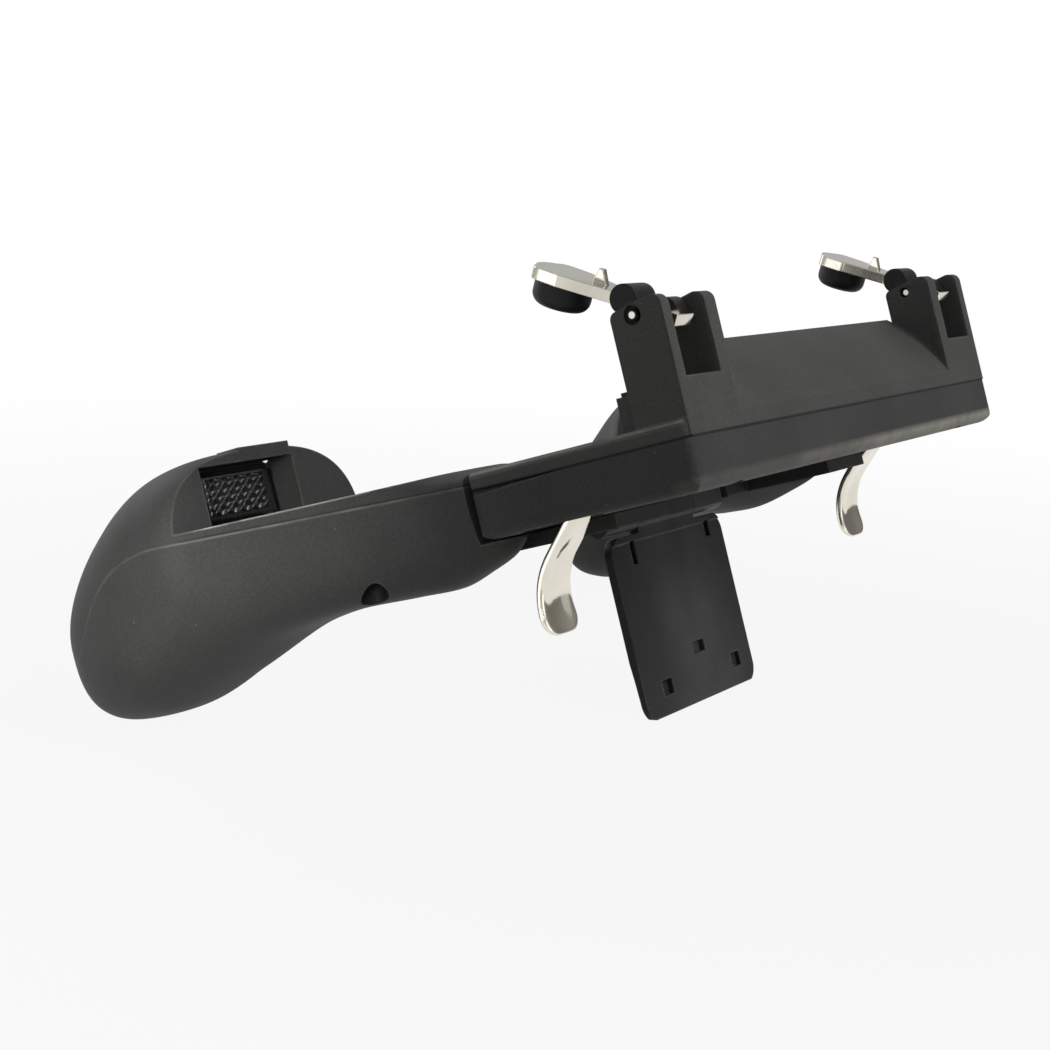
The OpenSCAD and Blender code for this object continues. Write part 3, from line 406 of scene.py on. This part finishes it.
# The stand plate's pale middle is a painted highlight.
PLATE = moulded_plastic("plate_plastic", (0.0110, 0.0115, 0.0121, 1), (0.0215, 0.0220, 0.0222, 1), 0.5,
                        wear_and_highlight=plate_middle_highlight, pale=(0.066, 0.0665, 0.065, 1))
KNOB = moulded_plastic("knob_plastic", (0.012, 0.012, 0.0125, 1), (0.020, 0.020, 0.020, 1), 0.40, 0.0006, 0.3)
CHROME = polished_chrome("chrome", (0.83, 0.79, 0.69, 1), (0.73, 0.69, 0.59, 1))
LEVER_CHROME = polished_chrome("lever_chrome", (0.74, 0.705, 0.62, 1), (0.56, 0.53, 0.46, 1))
STEEL = plain_steel("steel", (0.50, 0.50, 0.50, 1), (0.66, 0.655, 0.64, 1))
SCREW_STEEL = plain_steel("screw_steel", (0.10, 0.10, 0.102, 1), (0.24, 0.236, 0.225, 1))
PIN_STEEL = ringed_steel("pin_steel", "left_lever_pin", (0.006, 0.006, 0.006, 1), (0.70, 0.68, 0.62, 1))
PAD_RUBBER = soft_rubber("pad_rubber", (0.009, 0.009, 0.0095, 1), (0.018, 0.018, 0.018, 1), 0.55)
JAW_RUBBER = soft_rubber("jaw_rubber", (0.008, 0.008, 0.009, 1), (0.017, 0.017, 0.017, 1), 0.20, 0.8)

# The first ending that a node's name has gives its finish.
FINISH_BY_ENDING = (
    ("_hub", KNOB), ("lever_arm", LEVER_CHROME), ("touch_pad", PAD_RUBBER), ("jaw_pad", JAW_RUBBER),
    ("lever_pin", PIN_STEEL), ("_pin", STEEL), ("_spring", STEEL), ("_link", STEEL), ("_screws", STEEL),
    ("_rail", STEEL), ("trigger", CHROME), ("stand_bracket", DARK), ("stand_plate", PLATE),
    ("body_upper_shell", LIT_HOOD), ("body_lower_shell", BASE), ("_shell", SHELL),
)


def dress(obj, finish):
    """Gives an object one finish."""
    obj.data.materials.clear()
    obj.data.materials.append(finish)


for node_name, node_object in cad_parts.items():
    dress(node_object, next(finish for ending, finish in FINISH_BY_ENDING if node_name.endswith(ending)))


# Pieces from arrays

def placed(name, points, faces):
    """One mesh object at the origin from points in metres and faces."""
    mesh = bpy.data.meshes.new(name)
    mesh.from_pydata(points.tolist(), [], faces)
    obj = bpy.data.objects.new(name, mesh)
    bpy.context.scene.collection.objects.link(obj)
    return obj


def settle(obj, finish, body, replaced, smooth=30.0):
    """Dresses a piece, sets it on its body for its node; edges bent more than smooth degrees stay sharp."""
    mesh = obj.data
    dress(obj, finish)
    mesh.polygons.foreach_set("use_smooth", np.ones(len(mesh.polygons), bool))
    mesh.set_sharp_from_angle(angle=math.radians(smooth))
    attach(obj, body)
    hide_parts(replaced)


def piece(name, shape, finish, body, replaced, smooth=30.0):
    """One piece from level points and their faces."""
    points, faces = shape
    obj = placed(name, standing(points), faces)
    obj.data.validate()
    settle(obj, finish, body, replaced, smooth)


def grid_faces(rows, columns, closed):
    """Quads of a grid of rows by columns, each row closed into a ring if asked."""
    i, k = np.meshgrid(np.arange(rows - 1), np.arange(columns if closed else columns - 1), indexing="ij")
    a, b = i * columns + k, i * columns + (k + 1) % columns
    return np.stack([a, b, b + columns, a + columns], -1).reshape(-1, 4).tolist()


def tube_faces(rings, count, turned_over=False):
    """A grid closed into rings, with a flat cap at each end; turned over where the rings run clockwise."""
    faces = grid_faces(rings, count, True)
    faces.append(list(range(count))[::-1])
    faces.append(list(range((rings - 1) * count, rings * count)))
    return [f[::-1] for f in faces] if turned_over else faces


def outward(points, faces, side):
    """Mirrors points for the left side and turns the faces so that they still point outwards."""
    points = np.asarray(points, float) * np.array([side, 1.0, 1.0])
    return points, ([f[::-1] for f in faces] if side < 0 else faces)


def joined(*shapes):
    """Puts closed shapes together in one list of points and faces."""
    points, faces, start = [], [], 0
    for p, f in shapes:
        points.append(np.asarray(p, float).reshape(-1, 3))
        faces += [[i + start for i in face] for face in f]
        start += len(points[-1])
    return np.concatenate(points), faces


def signed_power(v, p):
    """A power of the size of v that keeps its sign."""
    return np.sign(v) * np.abs(v) ** p


def box_points(low, high):
    """Eight corners and six outward faces of a box."""
    low, high = np.array(low, float), np.array(high, float)
    pick = np.array([[0, 0, 0], [1, 0, 0], [1, 1, 0], [0, 1, 0], [0, 0, 1], [1, 0, 1], [1, 1, 1], [0, 1, 1]])
    faces = [[3, 2, 1, 0], [4, 5, 6, 7], [0, 1, 5, 4], [1, 2, 6, 5], [2, 3, 7, 6], [3, 0, 4, 7]]
    return np.where(pick == 1, high, low), faces


def rod_points(start, end, radius, count=40):
    """A round rod along x from start to end, with end caps."""
    a = 2 * np.pi * np.arange(count) / count
    ring = np.stack([0 * a, radius * np.cos(a), radius * np.sin(a)], -1)
    return np.concatenate([ring + np.array(start), ring + np.array(end)]), tube_faces(2, count)


def upright_points(x, y, low, high, radius, count=40):
    """A round rod along z from low to high, with end caps."""
    a = 2 * np.pi * np.arange(count) / count
    ring = np.stack([x + radius * np.cos(a), y + radius * np.sin(a), 0 * a], -1)
    return np.concatenate([ring + np.array([0, 0, low]), ring + np.array([0, 0, high])]), tube_faces(2, count)


def prism_points(outline, axis, low, high):
    """A flat outline (anticlockwise, n by 2) carried from low to high along x or z, with end caps."""
    outline = np.asarray(outline, float)
    ends = np.repeat([low, high], len(outline))
    flat = np.concatenate([outline, outline])
    columns = [ends, flat[:, 0], flat[:, 1]] if axis == "x" else [flat[:, 0], flat[:, 1], ends]
    return np.stack(columns, -1), tube_faces(2, len(outline))


# Grips: the same rings as the solids, closer together

# Distance from the rear face, inner side, keel, outer side, top, bottom and widest height.
GRIP_STATIONS = np.array([
    [33.6, outer(-0.4), outer(-0.2), outer(-0.1), 0.14 * JAW_TOP, UNDER_Z - 0.5, 1],
    [36.0, outer(-0.53), outer(-0.2), outer(-0.026), 0.17 * JAW_TOP, UNDER_Z - 2.6, 1],
    [along(0.068), RAIL_X - 2.4, outer(-0.217), HALF_W, 0.21 * JAW_TOP, -0.544 * LOBE_DROP, 0.9],
    [along(0.28), RAIL_X - 2.4, outer(-0.263), outer(0.04), 0.32 * JAW_TOP, -0.614 * LOBE_DROP, 0.8],
    [along(0.503), RAIL_X - 0.5, outer(-0.23), outer(0.23), 0.55 * JAW_TOP, -0.61 * LOBE_DROP, 0.7],
    [along(0.752), outer(-0.74), outer(-0.033), outer(0.579), 0.82 * JAW_TOP, -0.596 * LOBE_DROP, 0.4],
    [JAW_Y, outer(-0.553), outer(0.197), outer(0.921), JAW_TOP, -0.658 * LOBE_DROP, 0],
    [behind(0.226), outer(-0.263), outer(0.362), outer(1), 0.985 * JAW_TOP, -0.84 * LOBE_DROP, -2],
    [behind(0.424), outer(-0.066), outer(0.428), outer(1), 0.815 * JAW_TOP, -0.975 * LOBE_DROP, -4.4],
    [behind(0.622), outer(0.046), outer(0.46), outer(0.934), 0.485 * JAW_TOP, -LOBE_DROP, -6.8],
    [behind(0.791), outer(0.145), outer(0.46), outer(0.83), 0.07 * JAW_TOP, -0.965 * LOBE_DROP, -9],
    [behind(0.932), outer(0.25), outer(0.445), outer(0.655), -0.375 * JAW_TOP, -0.845 * LOBE_DROP, -10.8],
    [behind(1), outer(0.382), outer(0.41), outer(0.445), -0.75 * JAW_TOP, -0.56 * LOBE_DROP, -11.6],
])
GRIP_RINGS, RING_POINTS, SEAM_POINTS = 150, 144, 40
WELL_R, HEAD_H, FAR = 2.15, 1.3, 200.0


def smooth_stations(table, u):
    """Cubic curve through the table's rows, u counting rows, with the end rows repeated."""
    last = len(table) - 1
    i = np.minimum(np.floor(u).astype(int), last)
    t = (u - i)[:, None]
    a, b, c, d = (table[np.clip(i + k, 0, last)] for k in (-1, 0, 1, 2))
    return b + t / 2 * (c - a + t * (2 * a - 5 * b + 4 * c - d + t * (3 * (b - c) + d - a)))


def grip_rings(rings, count):
    """Rings of the grip at stations along y: a rounded arch above the widest height and a rounded keel below,
    each a circle whose sine and cosine are raised to a power and stretched to the station's sides and heights."""
    row = smooth_stations(GRIP_STATIONS, np.linspace(0, len(GRIP_STATIONS) - 1, rings))
    y, x_in, keel, x_out, top, low, mid = (row[:, k:k + 1] for k in range(7))
    a = 2 * np.pi * (np.arange(count)[None, :] + 0.5) / count
    top_power = 0.74 + 0.26 * np.clip((y - JAW_Y) / 18, 0, 1)
    inner_power = 0.78 + 0.8 * np.clip((JAW_Y - 4 - y) / 22, 0, 1)
    power = np.where(np.sin(a) > 0, top_power, np.where(np.cos(a) > 0, 0.78, inner_power))
    across, rise = signed_power(np.cos(a), power), signed_power(np.sin(a), power)
    x = keel + np.where(across > 0, x_out - keel, keel - x_in) * across
    z = mid + rise * np.where(rise > 0, top - mid, mid - low)
    return np.stack([x, y + 0 * x, z], -1)


def seam_block(above, lift):
    """A large block above or below the grip's seam: a gentle slope to the jaw, an arc and a slope to the tip."""
    bend_z = SEAM + (SEAM_BEND_Y - GRIP_Y) * math.tan(SEAM_SLOPE)
    a = np.linspace(SEAM_SLOPE, -SEAM_FALL, SEAM_POINTS)
    y = SEAM_BEND_Y + SEAM_BEND_R * (math.sin(SEAM_SLOPE) - np.sin(a))
    z = bend_z + SEAM_BEND_R * (np.cos(a) - math.cos(SEAM_SLOPE)) + lift
    y = np.concatenate([[y[0] - 100 * math.cos(SEAM_SLOPE)], y, [y[-1] + 60 * math.cos(SEAM_FALL)]])
    z = np.concatenate([[z[0] - 100 * math.sin(SEAM_SLOPE)], z, [z[-1] - 60 * math.sin(SEAM_FALL)]])
    far = 80.0 if above else -80.0
    outline = np.concatenate([np.stack([y, z], -1), [[y[-1], far], [y[0], far]]])
    return prism_points(outline if above else outline[::-1], "x", -10, FAR)


def loose(name, shape, side):
    """A closed form as an object that is not yet a piece."""
    points, faces = outward(*shape, side)
    return placed(name, standing(points), faces)


def carved(name, start, steps, side):
    """A closed form with blocks and rods cut out of it or joined to it, left as one plain mesh."""
    obj = loose(name, start, side)
    tools = []
    for operation, shape in steps:
        tools.append(loose("cutter", shape, side))
        step = obj.modifiers.new("step", "BOOLEAN")
        step.operation, step.object, step.solver = operation, tools[-1], "MANIFOLD"
    bpy.context.view_layer.update()
    made = bpy.data.meshes.new_from_object(obj.evaluated_get(bpy.context.evaluated_depsgraph_get()))
    obj.modifiers.clear()
    obj.data = made
    for tool in tools:
        bpy.data.objects.remove(tool)
    return obj


def make_grip(name, side):
    """The two halves of a grip: the rings cut at the seam, the deck and the body, with the jaw's recess and bar
    on the upper half, and the rail's sleeve, the tongue and the screw wells on the lower."""
    form = (grip_rings(GRIP_RINGS, RING_POINTS).reshape(-1, 3), tube_faces(GRIP_RINGS, RING_POINTS, True))
    deck_cut = box_points((-10, -100, GRIP_DECK), (FAR, JAW_Y, FAR))
    body_cut = box_points((-10, -100, UNDER_Z), (FAR, GRIP_Y, FAR))
    left, right = RECESS_X - RECESS_W / 2, RECESS_X + RECESS_W / 2
    recess = box_points((left, JAW_Y - 1, GRIP_DECK), (right, JAW_Y + RECESS_D, GRIP_DECK + RECESS_H))
    bar = box_points((left + 0.2, JAW_Y, GRIP_DECK + RECESS_H - 1),
                     (RECESS_X + 0.05 * RECESS_W, JAW_Y + RECESS_D - 1, JAW_TOP + JAW_BAR))
    sleeve_end, sleeve_out = GRIP_Y + RAIL_IN_GRIP + SLEEVE_WALL, RAIL_OUT + 2 * SLEEVE_WALL
    tongue = box_points((RAIL_X - 1, TONGUE_FROM, TONGUE_LOW), (sleeve_out, sleeve_end, UNDER_Z + 2))
    past_lug, sleeve_in = GRIP_Y + 4.6 + 2 * SLEEVE_WALL, RAIL_X - SLEEVE_WALL
    sleeve = prism_points([(SPRING_IN, GRIP_Y), (sleeve_out, GRIP_Y), (sleeve_out, sleeve_end),
                           (sleeve_in, sleeve_end), (sleeve_in, past_lug + RAIL_X - SPRING_IN),
                           (SPRING_IN, past_lug)], "z", TONGUE_LOW, SEAM)
    wells = [upright_points(x, y, -60, z + HEAD_H, WELL_R) for x, y, z in SCREWS]
    upper = carved(f"{name}_grip_upper", form,
                   [("DIFFERENCE", seam_block(False, -0.02)), ("UNION", bar), ("DIFFERENCE", deck_cut),
                    ("DIFFERENCE", body_cut), ("DIFFERENCE", recess)], side)
    settle(upper, SHELL, f"{name}_grip_body", f"{name}_grip_upper_shell")
    lower = carved(f"{name}_grip_lower", form,
                   [("UNION", sleeve), ("UNION", tongue), ("DIFFERENCE", seam_block(True, 0.0)),
                    ("DIFFERENCE", deck_cut), ("DIFFERENCE", body_cut)]
                   + [("DIFFERENCE", well) for well in wells], side)
    settle(lower, SHELL, f"{name}_grip_body", f"{name}_grip_lower_shell")


# Triggers: the same blade as the solids, drawn finely

PIVOT_Y, PIVOT_Z, LEVER_X, BLADE_X = 19.2, -3.4, 51.25, 54.75
STEM, SLOPE, BEND, TIP, INSIDE_HUB = 12.0, math.radians(45.0), 11.0, 3.0, 2.0
FINGER = BEND * math.radians(66.0)
BLADE_HALF, NECK_HALF, NECK_END, NECK_RUN = 3.6, 1.75, 4.6, 5.0
BLADE_THICK, THINNING, FLARE, TIP_WIDTH = 1.2, 0.2, 0.36, 0.35
SCOOP, SCOOP_FROM, SCOOP_RUN = 0.7, 6.0, 5.0
BLADE_POINTS = 64
HUB_R, HUB_GAP, HUB_END = 2.7, 1.4, 3.5
ARM_R = PIVOT_Y - 7.32
ARM_REST = math.asin(0.889 / ARM_R)
FORK_X, FORK_THICK, FORK_FROM, FORK_HALF_H, FORK_EYE_R = (-3.3, 1.5), 1.8, 1.6, 1.3, 1.4
BRIDGE_HALF, BRIDGE_FROM, BRIDGE_TO = 2.5, 3.4, 5.6
CROSS_PIN_HALF, CROSS_PIN_R = 2.0, 0.7


def blade_rings(count):
    """Rings across the blade along a straight stem and a round finger curve: a box with rounded edges, scooped
    on the finger's side by a parabola, closing to a half-round tip."""
    length = STEM + FINGER
    s = np.concatenate([np.linspace(INSIDE_HUB, STEM, 24)[:-1], np.linspace(STEM, length - TIP, 60)[:-1],
                        length - TIP * (1 - np.linspace(0, 1, 26)) ** 1.6])[:, None]
    near_tip = np.clip((s - length + TIP) / TIP, 0, 1)
    close = np.maximum(0.03, np.sqrt(1 - near_tip ** 2))
    bent = np.maximum(0, s - STEM)
    turn = -SLOPE - bent / BEND
    mid_y = np.where(s <= STEM, PIVOT_Y + s * math.cos(SLOPE),
                     PIVOT_Y + (STEM - BEND) * math.cos(SLOPE) - BEND * np.sin(turn))
    mid_z = np.where(s <= STEM, PIVOT_Z - s * math.sin(SLOPE),
                     PIVOT_Z - (STEM + BEND) * math.sin(SLOPE) + BEND * np.cos(turn))
    inner = -NECK_HALF + (NECK_HALF - BLADE_HALF) * np.clip((s - NECK_END) / NECK_RUN, 0, 1)
    half = (BLADE_HALF - inner) / 2 * (1 + FLARE * bent / FINGER) * (TIP_WIDTH + (1 - TIP_WIDTH) * close)
    thick = BLADE_THICK * (1 - THINNING * s / length) * close
    dip = SCOOP * np.clip((s - SCOOP_FROM) / SCOOP_RUN, 0, 1) * close
    a = 2 * np.pi * (np.arange(count)[None, :] + 0.5) / count
    across = signed_power(np.cos(a), 0.55)
    off = thick * signed_power(np.sin(a), 0.7) + np.where(np.sin(a) < 0, dip * (1 - across ** 2), 0)
    return np.stack([BLADE_X + (BLADE_HALF + inner) / 2 + half * across, mid_y - off * np.sin(turn),
                     mid_z + off * np.cos(turn)], -1)


def arm_shapes():
    """Hub halves and the forked arm with its cross pin, turned to the arm's rest."""
    hubs = [rod_points((low, PIVOT_Y, PIVOT_Z), (high, PIVOT_Y, PIVOT_Z), HUB_R) for low, high in
            ((LEVER_X - HUB_END, LEVER_X - HUB_GAP), (LEVER_X + HUB_GAP, BLADE_X + BLADE_HALF))]
    parts = []
    for low in FORK_X:
        high = low + FORK_THICK
        parts.append(box_points((low, -ARM_R, -FORK_HALF_H), (high, -FORK_FROM, FORK_HALF_H)))
        parts.append(rod_points((low, -ARM_R, 0), (high, -ARM_R, 0), FORK_EYE_R))
    parts.append(box_points((-BRIDGE_HALF, -BRIDGE_TO, -FORK_HALF_H), (BRIDGE_HALF, -BRIDGE_FROM, FORK_HALF_H)))
    parts.append(rod_points((-CROSS_PIN_HALF, -ARM_R, 0), (CROSS_PIN_HALF, -ARM_R, 0), CROSS_PIN_R))
    p, f = joined(*parts)
    c, s = math.cos(ARM_REST), -math.sin(ARM_REST)
    p = np.stack([LEVER_X + p[:, 0], PIVOT_Y + c * p[:, 1] - s * p[:, 2],
                  PIVOT_Z + s * p[:, 1] + c * p[:, 2]], -1)
    return hubs + [(p, f)]


def make_trigger(name, side):
    """A trigger: the blade with its hub and arm."""
    rings = blade_rings(BLADE_POINTS)
    shape = joined((rings, tube_faces(len(rings), BLADE_POINTS, True)), *arm_shapes())
    piece(f"{name}_trigger_blade", outward(*shape, side), CHROME, f"{name}_trigger_body",
          f"{name}_trigger", 40.0)


# Jaw pads: a rubber block whose face is a net of crossing ridges

PAD_HALF_W, PAD_HALF_H, PAD_Z, PAD_FACE_Y, PAD_BACK_Y = 8.4, 3.55, 8.15, 74.6, 76.5
PAD_RELIEF, PAD_FLOOR, PAD_EDGE = 0.9, 0.25, 0.5
NET_HALF_W, NET_HALF_H, NET_EDGE, NET_X, NET_Z, RIDGE_W = 6.7, 2.9, 0.4, 2.9, 2.1, 0.15
PAD_COLUMNS, PAD_ROWS = 190, 90


def ridge(t):
    """A round ridge at each whole number: a bell curve over the distance from it."""
    return np.exp(-(((t + 0.5) % 1.0 - 0.5) / RIDGE_W) ** 2)


def jaw_pad_points():
    """Height over the pad's face: the higher of two crossing families of round ridges, inside a plain margin,
    with the face rounded off at its border; then the four sides and the flat back."""
    u, v = np.meshgrid(np.linspace(-PAD_HALF_W, PAD_HALF_W, PAD_COLUMNS),
                       np.linspace(-PAD_HALF_H, PAD_HALF_H, PAD_ROWS), indexing="xy")
    margin = np.clip(np.minimum(NET_HALF_W - np.abs(u), NET_HALF_H - np.abs(v)) / NET_EDGE, 0, 1)
    net = np.maximum(ridge(u / NET_X + v / NET_Z), ridge(u / NET_X - v / NET_Z)) * margin
    border = np.clip(np.minimum(PAD_HALF_W - np.abs(u), PAD_HALF_H - np.abs(v)) / PAD_EDGE, 0, 1)
    relief = PAD_RELIEF * (PAD_FLOOR + (1 - PAD_FLOOR) * net) * np.sqrt(1 - (1 - border) ** 2)
    front = np.stack([RECESS_X + u, PAD_FACE_Y - relief, PAD_Z + v], -1).reshape(-1, 3)
    rim = np.concatenate([np.arange(PAD_COLUMNS), PAD_COLUMNS - 1 + PAD_COLUMNS * np.arange(1, PAD_ROWS),
                          PAD_COLUMNS * (PAD_ROWS - 1) + np.arange(PAD_COLUMNS - 2, -1, -1),
                          PAD_COLUMNS * np.arange(PAD_ROWS - 2, 0, -1)])
    back = front[rim] * np.array([1.0, 0.0, 1.0]) + np.array([0.0, PAD_BACK_Y, 0.0])
    at_back = len(front) + np.arange(len(rim))
    sides = np.stack([rim, at_back, np.roll(at_back, -1), np.roll(rim, -1)], -1)
    faces = grid_faces(PAD_ROWS, PAD_COLUMNS, False) + sides.tolist() + [at_back[::-1].tolist()]
    return np.concatenate([front, back]), faces


def make_jaw_pad(name, side):
    """A jaw pad with its net."""
    piece(f"{name}_jaw_net", outward(*jaw_pad_points(), side), JAW_RUBBER, f"{name}_grip_body",
          f"{name}_jaw_pad", 50.0)


# Screws: the same heads and shanks as the solids, with their sockets

BODY_SCREWS = ((18.0, 14.2), (18.0, 32.6), (POST_IN + 2.5, 3.4), (54.6, 34.6))
BODY_SCREW_Z, BODY_SCREW_LEN, GRIP_SCREW_LEN = -7.5, 8.8, (10.6, 20.0)
HEAD_R, HEAD_ROUND, SHANK_R, SOCKET_R, SOCKET_DEEP = 2.0, 0.3, 1.1, 0.95, 0.75


def screw_points(x, y, z, length, count=48):
    """A screw along z as rings about its axis: a six-sided socket, the head's rounded rim, and the shank."""
    a = 2 * np.pi * np.arange(count) / count
    socket = SOCKET_R * math.cos(math.pi / 6) / np.cos(a % (math.pi / 3) - math.pi / 6)
    rings = ((0.02, SOCKET_DEEP), (socket, SOCKET_DEEP), (socket, 0.0), (HEAD_R - HEAD_ROUND, 0.0),
             (HEAD_R - 0.3 * HEAD_ROUND, 0.3 * HEAD_ROUND), (HEAD_R, HEAD_ROUND), (HEAD_R, HEAD_H),
             (SHANK_R, HEAD_H), (SHANK_R, length))
    radius = np.stack([r + 0 * a for r, h in rings])
    height = np.stack([z + h + 0 * a for r, h in rings])
    return np.stack([x + radius * np.cos(a), y + radius * np.sin(a), height], -1), tube_faces(len(rings), count)


def make_screws(name, screws, sides, body, node):
    """A set of screws as one piece, on one side or mirrored to both."""
    shape = joined(*(outward(*joined(*screws), side) for side in sides))
    piece(name, shape, SCREW_STEEL, body, node)


make_screws("body_screw_set", [screw_points(x, y, BODY_SCREW_Z, BODY_SCREW_LEN) for x, y in BODY_SCREWS],
            SIDES.values(), "body", "body_screws")
for side_name, side_sign in SIDES.items():
    make_screws(f"{side_name}_grip_screw_set",
                [screw_points(*place, length) for place, length in zip(SCREWS, GRIP_SCREW_LEN)],
                [side_sign], f"{side_name}_grip_body", f"{side_name}_grip_screws")
    make_grip(side_name, side_sign)
    make_trigger(side_name, side_sign)
    make_jaw_pad(side_name, side_sign)


# Studio, in metres

# Each lamp's name, place, width and watts, then its aim and beam in degrees if it isn't for the whole object.
LAMPS = (
    ("key", (0.15, -0.85, 0.98), 0.9, 9.0),
    ("fill", (0.3, -1.1, 0.25), 0.6, 1.4),
    ("front", (0.15, 1.15, 0.55), 0.9, 4.0),
    ("side", (-0.20, 0.075, 0.035), 0.09, 0.018),
    ("grip_light", (-0.30, -0.05, 0.09), 0.06, 0.011, (-0.092, 0.045, 0.024), 18.0),
)
OBJECT_MIDDLE = (0.0, 0.02, 0.04)
FLOOR_BOX = ((-6, -6, -0.02), (6, 6, 0.0))
FLOOR_TONE, CARD_TONE = (0.22, 0.22, 0.217, 1), (0.25, 0.25, 0.24, 1)
CARD_BOX = ((0.83, -0.75, 0.02), (0.84, 0.12, 0.62))
FLOOR_WHITE, FLOOR_MIRRORED, SHADOW_REACH = 0.91, 0.9, (0.10, 0.40)
SKY_LIGHT, SKY_MIRRORED = 0.32, 0.2


def look(aim):
    """Turn whose -z axis points along aim."""
    back = -aim / np.linalg.norm(aim)
    side = np.cross([0, 0, 1.0], back)
    side /= np.linalg.norm(side)
    return np.stack([side, np.cross(back, side), back], -1)


def lamp(name, place, size, power, target=OBJECT_MIDDLE, spread=180.0):
    """A soft round lamp, turned to its target and not seen itself."""
    data = bpy.data.lights.new(name, "AREA")
    data.shape, data.size, data.energy, data.spread = "DISK", size, power, math.radians(spread)
    obj = bpy.data.objects.new(name, data)
    obj.visible_camera = False
    bpy.context.scene.collection.objects.link(obj)
    aim = np.array(target) - np.array(place)
    obj.matrix_world = Matrix.Translation(place) @ Matrix(look(aim).tolist()).to_4x4()


def backdrop(name, corners, finish):
    """A box that belongs to the stage."""
    made = placed(name, *box_points(*corners))
    dress(made, finish)
    return made


def plain_finish(name, tone, rough):
    """A material of one tone, for the stage."""
    made, shader, where = finish_of(name)
    wire(shader, Base_Color=tone, Roughness=rough)
    return made, shader, where


def seen_and_mirrored(tree):
    """1 for rays from the eye, also through glass, and 1 for rays that metal mirrors."""
    path = tree.nodes.new("ShaderNodeLightPath")
    seen = Val(tree, path.outputs["Is Camera Ray"]) + Val(tree, path.outputs["Is Transmission Ray"])
    return seen, Val(tree, path.outputs["Is Glossy Ray"])


def studio():
    """A white floor that keeps the shadow near the object, a white surround for the eye, five soft lamps and a
    grey card that only the metal mirrors."""
    white, shader, where = plain_finish("floor_white", FLOOR_TONE, 0.9)
    tree = white.node_tree
    seen, mirrored = seen_and_mirrored(tree)
    far = where.node("ShaderNodeVectorMath", {"operation": "LENGTH"}, 1, i0=where).clamped(*SHADOW_REACH)
    glow = where.node("ShaderNodeEmission", None, Color=(1, 1, 1, 1), Strength=1.0)
    share = seen * (FLOOR_WHITE + far * (1 - FLOOR_WHITE)) + mirrored * FLOOR_MIRRORED
    mix = where.node("ShaderNodeMixShader", None, i0=share, i1=Val(tree, shader.outputs[0]), i2=glow)
    feed(tree.nodes["Material Output"].inputs["Surface"], mix)
    backdrop("floor", FLOOR_BOX, white)

    world = bpy.data.worlds.new("pale")
    bpy.context.scene.world = world
    world.use_nodes = True
    seen, mirrored = seen_and_mirrored(world.node_tree)
    wire(world.node_tree.nodes["Background"], Color=(1, 1, 1, 1),
         Strength=SKY_LIGHT + seen * (1 - SKY_LIGHT) + mirrored * SKY_MIRRORED)
    for settings in LAMPS:
        lamp(*settings)
    card = backdrop("card", CARD_BOX, plain_finish("card_grey", CARD_TONE, 0.5)[0])
    card.visible_camera = card.visible_diffuse = card.visible_shadow = card.visible_transmission = False


studio()
bpy.context.scene.view_settings.view_transform = "Standard"
